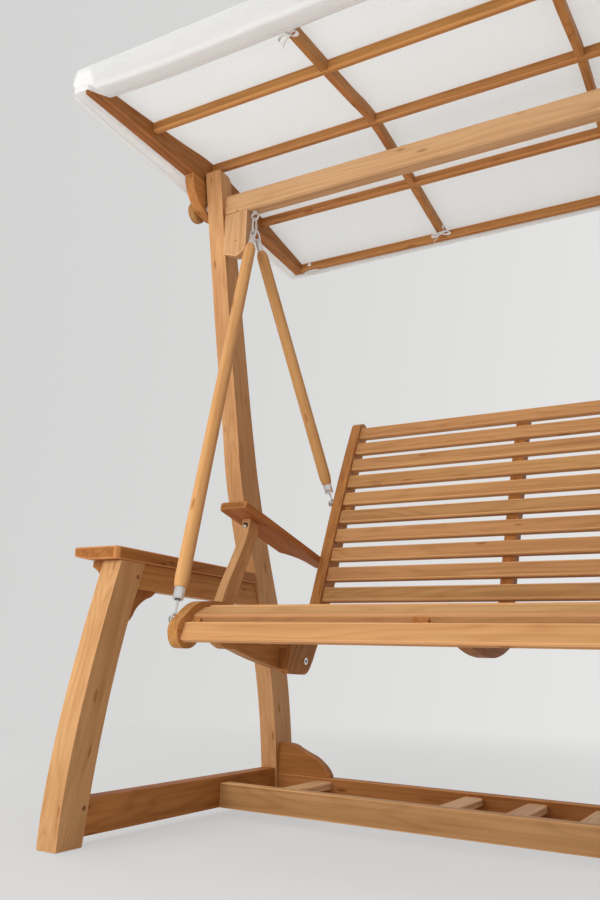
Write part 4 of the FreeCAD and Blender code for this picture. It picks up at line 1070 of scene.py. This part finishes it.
@dataclass
class Fasteners(Subassembly):
    """Canopy bolts, hook studs, screw plugs and nail heads."""

    bolt_edge: float = 0.7 * MM
    leg_inner: float = -0.782
    leg_outer: float = -0.840
    post_outer: float = -0.836
    below_armrest: Vector = spot(-0.576, -0.1535, 0.7425)
    armrest_down: Vector = spot(0, -0.995, 0.102)

    def build(self) -> None:
        """Dresses the bolts and makes the plugs, washers, nuts and nails."""
        for node in ("canopy_bolts", "seat_bolts"):
            self.eased(node, STEEL, self.bolt_edge)
        under, out = self.below_armrest, self.armrest_down
        nut = tuple(under + out * 1.2 * MM + Vector((0, 0, -1.5 * MM)))
        screws = [((self.leg_inner, -0.311, 0.600), INWARD), ((self.leg_inner, -0.430, 0.081), INWARD)]
        screws += [((self.leg_outer, y, z), OUTWARD)
                   for y, z in ((-0.330, 0.600), (-0.345, 0.628), (-0.455, 0.060), (-0.445, 0.095))]
        screws += [((self.post_outer, y, z), OUTWARD)
                   for y, z in ((0.415, 0.060), (0.44, 0.095), (0.245, 0.605))]
        bolts = [((self.leg_inner, y, z), INWARD) for y, z in ((-0.028954, 1.836), (-0.048223, 1.765))]
        beam_nail = Heads("nail_heads", DARK_STEEL_AND_HOLE_SHADE, "frame", 2.2 * MM, 0.8 * MM,
                          (((-0.738, -0.0389, 1.741), FORWARD),))
        bracket_nail = replace(beam_nail, proud=0.5 * MM, spots=(((-0.738, -0.0389, 1.640), FORWARD),))
        top_nail = replace(beam_nail, radius=2.6 * MM, proud=1.6 * MM,
                           spots=(((-0.677, -0.0345, 1.7985), Vector((0, -0.5, 1)).normalized()),))
        for kinds in ((Heads("screw_plugs", PLUG_TEAK, "frame", 5.5 * MM, 0.5 * MM, tuple(screws)),),
                      (Heads("bolt_plugs", TEAK, "frame", 8 * MM, 0.6 * MM, tuple(bolts)),),
                      (Heads("armrest_washers", DARK_STEEL_AND_HOLE_SHADE, "bench", 8 * MM, 1.6 * MM,
                             ((tuple(under), out),)),),
                      (Heads("bolt_sockets", DARK_STEEL_AND_HOLE_SHADE, "bench", 4.2 * MM, 0.7 * MM,
                             (((-0.503, 0.0541, 0.412), INWARD),)),),
                      (Heads("armrest_nuts", STEEL, "bench", 5 * MM, 4 * MM, ((nut, out),)),),
                      (beam_nail, top_nail, bracket_nail)):
            shapes = [shape for kind in kinds for shape in kind.shapes()]
            self.made(kinds[0].name, both_sides(shapes), kinds[0].finish, kinds[0].body, smooth=32)


@dataclass(frozen=True)
class CrownLine:
    """The arched top of the canopy's frame, as heights along its depth."""

    front: float = -0.560954
    length: float = 1.12
    tail: float = 1.845
    rise: float = 0.086
    shares: tuple[tuple[float, float], ...] = ((0.0, 0.36), (0.199, 0.605), (0.319, 0.785), (0.464, 1.0),
                                               (0.608, 0.82), (0.769, 0.49), (0.87, 0.27), (1.0, 0.0))

    def height(self, y: float) -> float:
        """Gives the arch's height, on a smooth line through the shares.

        Args:
            y: the place along the depth.

        Returns:
            The height.
        """
        place = part_way((y - self.front) / self.length)
        spots = self.shares
        index = max(i for i in range(len(spots) - 1) if spots[i][0] <= place or i == 0)
        (x0, z0), (x1, z1) = spots[index], spots[index + 1]
        before = spots[max(index - 1, 0)]
        after = spots[min(index + 2, len(spots) - 1)]
        run = x1 - x0
        leave = (z1 - before[1]) / (x1 - before[0]) * run
        arrive = (after[1] - z0) / (after[0] - x0) * run
        t = (place - x0) / run
        share = ((2 * t ** 3 - 3 * t ** 2 + 1) * z0 + (t ** 3 - 2 * t ** 2 + t) * leave
                 + (3 * t ** 2 - 2 * t ** 3) * z1 + (t ** 3 - t ** 2) * arrive)
        return self.tail + self.rise * share


@dataclass
class Cover(Subassembly):
    """The cloth cover: one sheet over the arch, with hanging skirts and valances."""

    crown: CrownLine = CrownLine()
    half_width: float = 0.896
    front: float = -0.590
    back: float = 0.567
    corner: float = 20 * MM
    fold: float = 10 * MM
    clear: float = 2.4 * MM
    front_lift: float = 38 * MM
    front_dip: float = 9 * MM
    lift_run: float = 0.17
    sag: float = 3.2 * MM
    front_hem: float = 1.829
    knee_hem: float = 1.8175
    rear_hem: float = 1.806
    knee: float = 0.148
    rails: tuple[float, ...] = (-0.551, -0.322, -0.029, 0.266, 0.549)
    bars: tuple[float, ...] = (-0.86, -0.287, 0.287, 0.86)
    columns: int = 200
    rows: int = 190
    skirt_share: float = 0.14
    side_skirt: float = 80 * MM
    end_skirts: float = 220 * MM
    pocket: float = 58 * MM
    pocket_end: float = 0.836
    thick: float = 0.7 * MM

    def build(self) -> None:
        """Makes the sheet, its cut map and its distance from the hem."""
        shape = bmesh.new()
        bmesh.ops.create_grid(shape, x_segments=self.columns, y_segments=self.rows, size=0.5)
        cut = shape.loops.layers.uv.new("cut")
        hem = shape.verts.layers.float.new("hem")
        flat: dict[int, tuple[float, float]] = {}
        for vert in shape.verts:
            vert.co, flat[vert.index], vert[hem] = self.draped(vert.co.x * 2, vert.co.y * 2)
        for face in shape.faces:
            for loop in face.loops:
                loop[cut].uv = flat[loop.vert.index]
        bmesh.ops.recalc_face_normals(shape, faces=shape.faces)
        area = sum(face.calc_area() for face in shape.faces)
        piece = self.linked("cloth_cover", shape, CANVAS, 180)
        cloth = piece.modifiers.new("cloth", "SOLIDIFY")
        cloth.thickness = self.thick
        cloth.offset = 0
        self.finished(piece, "canopy", CANVAS.slot, ("canopy_cover",))

    def split(self, share: float, low: float, high: float) -> tuple[float, float]:
        """Splits a place across the grid into its part on top and its part down a skirt.

        Args:
            share: the place, from -1 to 1.
            low: where the top starts.
            high: where it ends.

        Returns:
            The place on top, and how far down the skirt as a signed share.
        """
        edge = 1 - self.skirt_share * 2
        if abs(share) <= edge:
            return low + (share / edge + 1) / 2 * (high - low), 0.0
        down = (abs(share) - edge) / (1 - edge)
        return (low, -down) if share < 0 else (high, down)

    def drop(self, x: float, y: float, outward: Vector) -> float:
        """Gives how far the cloth hangs below its top edge.

        Args:
            x: the place across.
            y: the place along the depth.
            outward: away from the canopy, level.

        Returns:
            The drop.
        """
        behind = y - self.front
        side_hem = self.front_hem + (self.knee_hem - self.front_hem) * part_way(behind / self.knee)
        if behind >= self.knee:
            rest = self.back - self.front - self.knee
            side_hem += (self.rear_hem - self.knee_hem) * (behind - self.knee) / rest
        middle = 1 - min(abs(x) / self.half_width, 1.0) ** 2.5
        end_hem = self.front_hem - 10 * MM * middle if outward.y < 0 else self.rear_hem + 4 * MM * middle
        share = outward.y ** 2
        return self.top(x, y) - (side_hem * (1 - share) + end_hem * share)

    def top(self, x: float, y: float) -> float:
        """Gives the height of the cloth on top, sagging a little between the battens.

        Args:
            x: the place across.
            y: the place along the depth.

        Returns:
            The height.
        """
        middle = 1 - min(abs(x) / self.half_width, 1.0) ** 2
        near = max(0.0, 1 - (y - self.front) / self.lift_run) ** 1.8
        lifted = self.crown.height(y) + self.clear + (self.front_lift - self.front_dip * middle) * near
        return lifted - self.sag * self.between(x, self.bars) * self.between(y, self.rails)

    @staticmethod
    def between(place: float, supports: tuple[float, ...]) -> float:
        """Gives how far a place is from its supports, as a share that is one halfway.

        Args:
            place: the place.
            supports: where the cloth is held, in order.

        Returns:
            The share.
        """
        for low, high in zip(supports, supports[1:]):
            if low <= place <= high:
                return math.sin(math.pi * (place - low) / (high - low))
        return 0.0

    def draped(self, u: float, v: float) -> tuple[Vector, tuple[float, float], float]:
        """Lays one point of the grid over the canopy.

        Args:
            u: the place across the grid, from -1 to 1.
            v: the place along it, from -1 to 1.

        Returns:
            The point, its place on the flat cloth, and its distance from the hem.
        """
        inset = self.corner
        x, down_x = self.split(u, -self.half_width + inset, self.half_width - inset)
        y, down_y = self.split(v, self.front + inset, self.back - inset)
        down = max(abs(down_x), abs(down_y))
        outward = Vector((0.0, 0.0, 0.0))
        if down:
            turn = math.atan2(abs(down_y), abs(down_x))
            outward = Vector((math.copysign(math.cos(turn), down_x),
                              math.copysign(math.sin(turn), down_y), 0.0))
        level = inset - self.fold
        bend_run = self.fold * math.pi / 2
        hem = level + bend_run + self.drop(x, y, outward) - self.fold if down else 0.0
        whole = hem + self.turned_under(x, outward)
        under = max(0.0, whole * down - hem)
        gone = whole * down - under
        reach = min(gone, level)
        fall = 0.0
        if gone > level:
            angle = min((gone - level) / self.fold, math.pi / 2)
            reach += self.fold * math.sin(angle)
            fall = self.fold * (1 - math.cos(angle))
        if gone > level + bend_run:
            fall += gone - level - bend_run
        place = Vector((x, y, self.top(x, y) - fall)) + outward * reach
        place += self.crease(place, outward, fall)
        round_off = 5 * MM * (1 - math.exp(-under / (5 * MM)))
        place += Vector((0, 0.985 * under, 0.17 * under - round_off * 0.6))
        gone += under
        flat = (x + math.copysign(gone, down_x) * (down_x != 0),
                y + math.copysign(gone, down_y) * (down_y != 0))
        return place, flat, (whole - gone if down else 0.5)

    def turned_under(self, x: float, outward: Vector) -> float:
        """Gives how much of the front valance turns back under the front rail, at a place across."""
        return self.pocket * part_way((self.pocket_end - abs(x)) / 0.02) if outward.y < -0.99 else 0.0

    def crease(self, place: Vector, outward: Vector, fall: float) -> Vector:
        """Gives the soft folds of the hanging cloth and the slight slack on top.

        Args:
            place: the smooth sheet's point.
            outward: away from the canopy, or nought on top.
            fall: how far below the top edge.

        Returns:
            The shift.
        """
        if not outward.length:
            slack = noise.noise(Vector((place.x * 2.3, place.y * 3.1, 4.0)))
            return Vector((0, 0, 0.9 * MM * slack))
        at_end = abs(outward.y) > 0.7
        along = place.x if at_end else place.y
        hang = min(fall / 0.03, 1.0)
        lengthwise = noise.noise(Vector((along * 2.6, place.z * 36.0, 1.0 + outward.x)))
        gathers = noise.noise(Vector((along * 11.0, place.z * 9.0, 7.0 + outward.x)))
        corner = 1 - abs(abs(outward.x) - abs(outward.y))
        puff = 5 * MM * corner * math.sin(math.pi * min(fall / 0.07, 1.0))
        near = max(0.0, 1 - (self.half_width - abs(place.x)) / 0.16) if at_end else 0.0
        tuck = 3.5 * MM * near * math.sin(place.z * 190.0 + place.x * 22.0)
        share = 1.0 if outward.y < -0.3 else 0.45
        return outward * ((5.6 * lengthwise + 2.0 * gathers) * MM * hang * share + puff + tuck * hang)


@dataclass
class TapeBows(Subassembly):
    """Cotton tapes tied in bows round the ends of the battens, which hold the cover down."""

    crown: CrownLine = CrownLine()
    bar_place: float = 0.287122
    rail_end: float = 0.808
    batten_wide: float = 20 * MM
    batten_high: float = 30 * MM
    tape: float = 17 * MM
    slack: float = 0.9 * MM
    thick: float = 1.1 * MM
    inset: float = 44 * MM
    front_rail: float = -0.550954
    rear_rail: float = 0.549046
    loop: tuple[tuple[float, float], ...] = ((0, 0), (0.35, 0.35), (0.8, 0.2), (1.05, -0.45), (0.9, -1.0),
                                             (0.5, -0.85), (0.1, -0.25))

    def build(self) -> None:
        """Ties a bow at each of the eight places."""
        ties = ((-self.bar_place, self.front_rail + self.inset, Lay.ROUND_BAR, 1.0),
                (-self.rail_end, self.front_rail, Lay.ROUND_RAIL, 0.25),
                (-self.bar_place, self.rear_rail - self.inset, Lay.ROUND_BAR, 1.0),
                (-self.rail_end, self.rear_rail, Lay.ROUND_RAIL, 0.95))
        shapes = [self.bow(Vector((x * sign, y, self.crown.height(y))), lay, index * 2 + (sign < 0), size)
                  for index, (x, y, lay, size) in enumerate(ties) for _, sign in SIDES]
        piece = self.linked("tape_bows", joined(shapes), TAPE, 60)
        body = piece.modifiers.new("tape", "SOLIDIFY")
        body.thickness = self.thick
        body.offset = 0
        round_off = piece.modifiers.new("soft", "SUBSURF")
        round_off.levels = round_off.render_levels = 1
        self.finished(piece, "canopy", TAPE.slot, ("canopy_ties",))

    def slope(self, y: float) -> float:
        """Gives the arch's slope at a place along the depth."""
        step = 4 * MM
        return math.atan2(self.crown.height(y + step) - self.crown.height(y - step), 2 * step)

    def bow(self, top: Vector, lay: Lay, number: int, size: float) -> Shape:
        """Makes one band round a batten with its bow below.

        Args:
            top: the middle of the batten's top.
            lay: the batten that it goes round.
            number: the bow's number, which varies its loops a little.
            size: how large its loops and tails are, as a share.

        Returns:
            The bow.
        """
        half = self.batten_wide / 2 + self.slack
        low = -self.batten_high - self.slack
        band = [Vector((0, y, z)) for y, z in ((-half, -0.6 * MM), (half, -0.6 * MM), (half, low), (-half, low),
                                               (-half, -0.6 * MM))]
        held = self.strip(band, INWARD, self.tape)
        if lay is Lay.ROUND_BAR:
            held.transform(Matrix.Rotation(math.pi / 2, 4, "Z"))
        knot = Vector((0, 0, low - 5 * MM))
        wrap = [knot + Vector((0, 6.5 * MM * math.cos(turn), 5 * MM * math.sin(turn)))
                for turn in [math.tau * step / 8 for step in range(9)]]
        strips = [self.strip(wrap, Vector((1, 0.12, 0)).normalized(), 9 * MM)]
        vary = [noise.cell(Vector((number * 3.7 + part, 0.5, 2.5))) for part in range(6)]
        for own, side in enumerate((-1, 1)):
            swing = 0.75 + 0.35 * vary[own]
            reach = (34 + 10 * vary[own + 2]) * MM * size
            if lay is Lay.ROUND_RAIL:
                reach *= 0.75 if side * top.x < 0 else 1.35
            sag = (11 + 8 * vary[own + 4]) * MM * size
            path = [knot + Vector((0.7 * MM * side * index, side * reach * out, sag * up * swing))
                    for index, (out, up) in enumerate(self.loop)]
            strips.append(self.strip(path, Vector((1, 0.25 * side, 0.1)).normalized(), 13 * MM))
            tail = ((0, 0), (0.3, -0.4), (0.75, -0.9), (1.0, -1.5 - vary[own + 3] * 0.5))
            path = [knot + Vector((side * (2 + 3 * index) * MM, side * reach * out * 0.8, sag * up))
                    for index, (out, up) in enumerate(tail)]
            strips.append(self.strip(path, Vector((0.9, 0.4 * side, 0.15)).normalized(), 11 * MM))
        tied = joined(strips)
        tied.transform(Matrix.Rotation(math.pi / 2, 4, "Z"))
        shape = joined([held, tied])
        shape.transform(Matrix.Translation(top) @ Matrix.Rotation(self.slope(top.y), 4, "X"))
        return shape

    def strip(self, path: list[Vector], across: Vector, width: float) -> Shape:
        """Lays a flat tape along a path.

        Args:
            path: the points that the tape's middle follows.
            across: the way the tape is wide.
            width: its width.

        Returns:
            The tape, with its cut map.
        """
        shape = bmesh.new()
        cut = shape.loops.layers.uv.new("cut")
        half = across * (width / 2)
        ends = [shape.verts.new(path[0] - half), shape.verts.new(path[0] + half)]
        edge = shape.edges.new(ends)
        run = 0.0
        for before, after in zip(path, path[1:]):
            grown = bmesh.ops.extrude_edge_only(shape, edges=[edge])["geom"]
            verts = [part for part in grown if isinstance(part, bmesh.types.BMVert)]
            edge = next(part for part in grown if isinstance(part, bmesh.types.BMEdge))
            bmesh.ops.translate(shape, verts=verts, vec=after - before)
            step = (after - before).length
            for face in (part for part in grown if isinstance(part, bmesh.types.BMFace)):
                for loop in face.loops:
                    ahead = loop.vert in verts
                    side = 0.0 if (loop.vert.co - (after if ahead else before)).dot(across) < 0 else width
                    loop[cut].uv = (side, run + step * ahead)
            run += step
        return shape


@dataclass
class Studio:
    """Camera, pale floor, pale surroundings and soft lamps."""

    place: Vector = spot(0.6107, -1.9369, 0.400)
    lens: float = 33.77
    axes: tuple[Place, Place, Place] = (
        (0.86892906, 0.4939213, 0.03168663), (0.09572313, -0.23052309, 0.96834714),
        (0.48559178, -0.83839182, -0.24758791))
    pale: Colour = (0.66, 0.66, 0.655, 1.0)
    dim: Colour = (0.61, 0.612, 0.608, 1.0)
    bright: Colour = (0.80, 0.795, 0.785, 1.0)
    lit: Colour = (0.52, 0.52, 0.525, 1.0)
    floor_colour: Colour = (0.80, 0.79, 0.78, 1.0)
    even_share: float = 0.75
    floor_radius: float = 9.0
    fade: tuple[float, float] = (1.3, 4.5)
    middle: Vector = spot(0, 0, 0.9)

    def build(self) -> None:
        """Makes the camera, the floor, the world and the lamps."""
        self.make_camera()
        self.make_floor()
        self.make_world()
        self.make_lamp("key", Vector((-1.1, -3.2, 1.75)), 2.0, 66.0, self.middle)
        self.make_lamp("overhead", Vector((-0.2, -0.4, 4.7)), 3.4, 84.0, self.middle)
        self.make_lamp("side", Vector((-3.8, 0.2, 2.4)), 2.4, 38.0, self.middle)
        self.make_lamp("upward", Vector((-0.1, -1.35, 0.45)), 1.6, 2.2, Vector((-0.1, -0.5, 1.85)),
                       math.radians(80))

    def make_camera(self) -> None:
        """Makes the camera at the photograph's viewing place."""
        data = bpy.data.cameras.new("view")
        data.sensor_fit = "VERTICAL"
        data.sensor_height = 36.0
        data.sensor_width = 24.0
        data.lens = self.lens
        camera = bpy.data.objects.new("view", data)
        camera.matrix_world = Matrix.Translation(self.place) @ Matrix(self.axes).transposed().to_4x4()
        bpy.context.scene.collection.objects.link(camera)
        bpy.context.scene.camera = camera

    def make_floor(self) -> None:
        """Makes the round floor, which fades into the surroundings far out."""
        shape = bmesh.new()
        bmesh.ops.create_circle(shape, cap_ends=True, segments=96, radius=self.floor_radius)
        mesh = bpy.data.meshes.new("floor")
        shape.to_mesh(mesh)
        shape.free()
        mesh.materials.append(shared("studio_floor", self.paper))
        floor = bpy.data.objects.new("floor", mesh)
        floor.location.z = -0.5 * MM
        bpy.context.scene.collection.objects.link(floor)

    def paper(self, wiring: Wiring) -> Socket:
        """Makes the floor's nodes.

        Args:
            wiring: adds nodes to the material.

        Returns:
            The surface.
        """
        place = wiring.add("ShaderNodeTexCoord").outputs["Object"]
        matt = wiring.shader("BsdfPrincipled", {"Base Color": self.floor_colour, "Roughness": 0.9,
                                                "Specular IOR Level": 0.1})
        across = wiring.add("ShaderNodeSeparateXYZ", {0: place}).outputs[0]
        even = wiring.shader("Emission", {0: wiring.mix(wiring.ramp(across, -1.2, 1.6), self.dim, self.bright),
                                          1: 1.0})
        seen = wiring.add("ShaderNodeLightPath").outputs["Is Camera Ray"]
        flat = wiring.shader("MixShader", {0: wiring.math("MULTIPLY", seen, self.even_share), 1: matt, 2: even})
        far = wiring.ramp(wiring.vector("LENGTH", place)["Value"], *self.fade)
        return wiring.shader("MixShader", {0: far, 1: flat, 2: wiring.shader("BsdfTransparent", {})})

    def make_world(self) -> None:
        """Makes the pale surroundings, a little brighter to the right."""
        world = bpy.data.worlds.new("studio")
        bpy.context.scene.world = world
        world.use_nodes = True
        world.node_tree.nodes.clear()
        wiring = Wiring(world.node_tree)
        ray = wiring.add("ShaderNodeLightPath").outputs
        seen = wiring.math("MAXIMUM", ray["Is Camera Ray"], ray["Is Glossy Ray"])
        seen = wiring.math("MAXIMUM", seen, ray["Is Transmission Ray"])
        way = wiring.add("ShaderNodeTexCoord").outputs["Generated"]
        side = wiring.vector("DOT_PRODUCT", way, (0.93, 0.3, -0.2))["Value"]
        shown = wiring.mix(wiring.ramp(side, -0.6, 0.3), self.pale, self.bright)
        sky = wiring.shader("Background", {0: wiring.mix(seen, self.lit, shown), 1: 1.0})
        wiring.add("ShaderNodeOutputWorld", {0: sky})

    def make_lamp(self, name: str, place: Vector, size: float, power: float, aim: Vector,
                  spread: float = math.pi) -> None:
        """Makes a soft square lamp that only lights.

        Args:
            name: the lamp's name.
            place: where it stands.
            size: the length of its side.
            power: its power in watts.
            aim: the point that it faces.
            spread: how wide its light spreads.
        """
        data = bpy.data.lights.new(name, "AREA")
        data.shape = "SQUARE"
        data.size = size
        data.energy = power
        data.spread = spread
        lamp = bpy.data.objects.new(name, data)
        lamp.location = place
        lamp.rotation_euler = (aim - place).to_track_quat("-Z", "Y").to_euler()
        lamp.visible_camera = lamp.visible_glossy = False
        bpy.context.scene.collection.objects.link(lamp)


def main() -> None:
    """Dresses the swing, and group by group."""
    logging.basicConfig(level=logging.INFO, format="%(message)s")
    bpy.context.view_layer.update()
    bpy.context.scene.view_settings.view_transform = "Standard"
    for group in (FRAME_TIMBER, CANOPY_TIMBER, BENCH_TIMBER, SeatSlats(), ArmPosts(), Hangers(), Knobs(),
                  Fasteners(), Cover(), TapeBows()):
        group.build()
    Studio().build()
    bpy.context.view_layer.update()


if __name__ == "__main__":
    main()
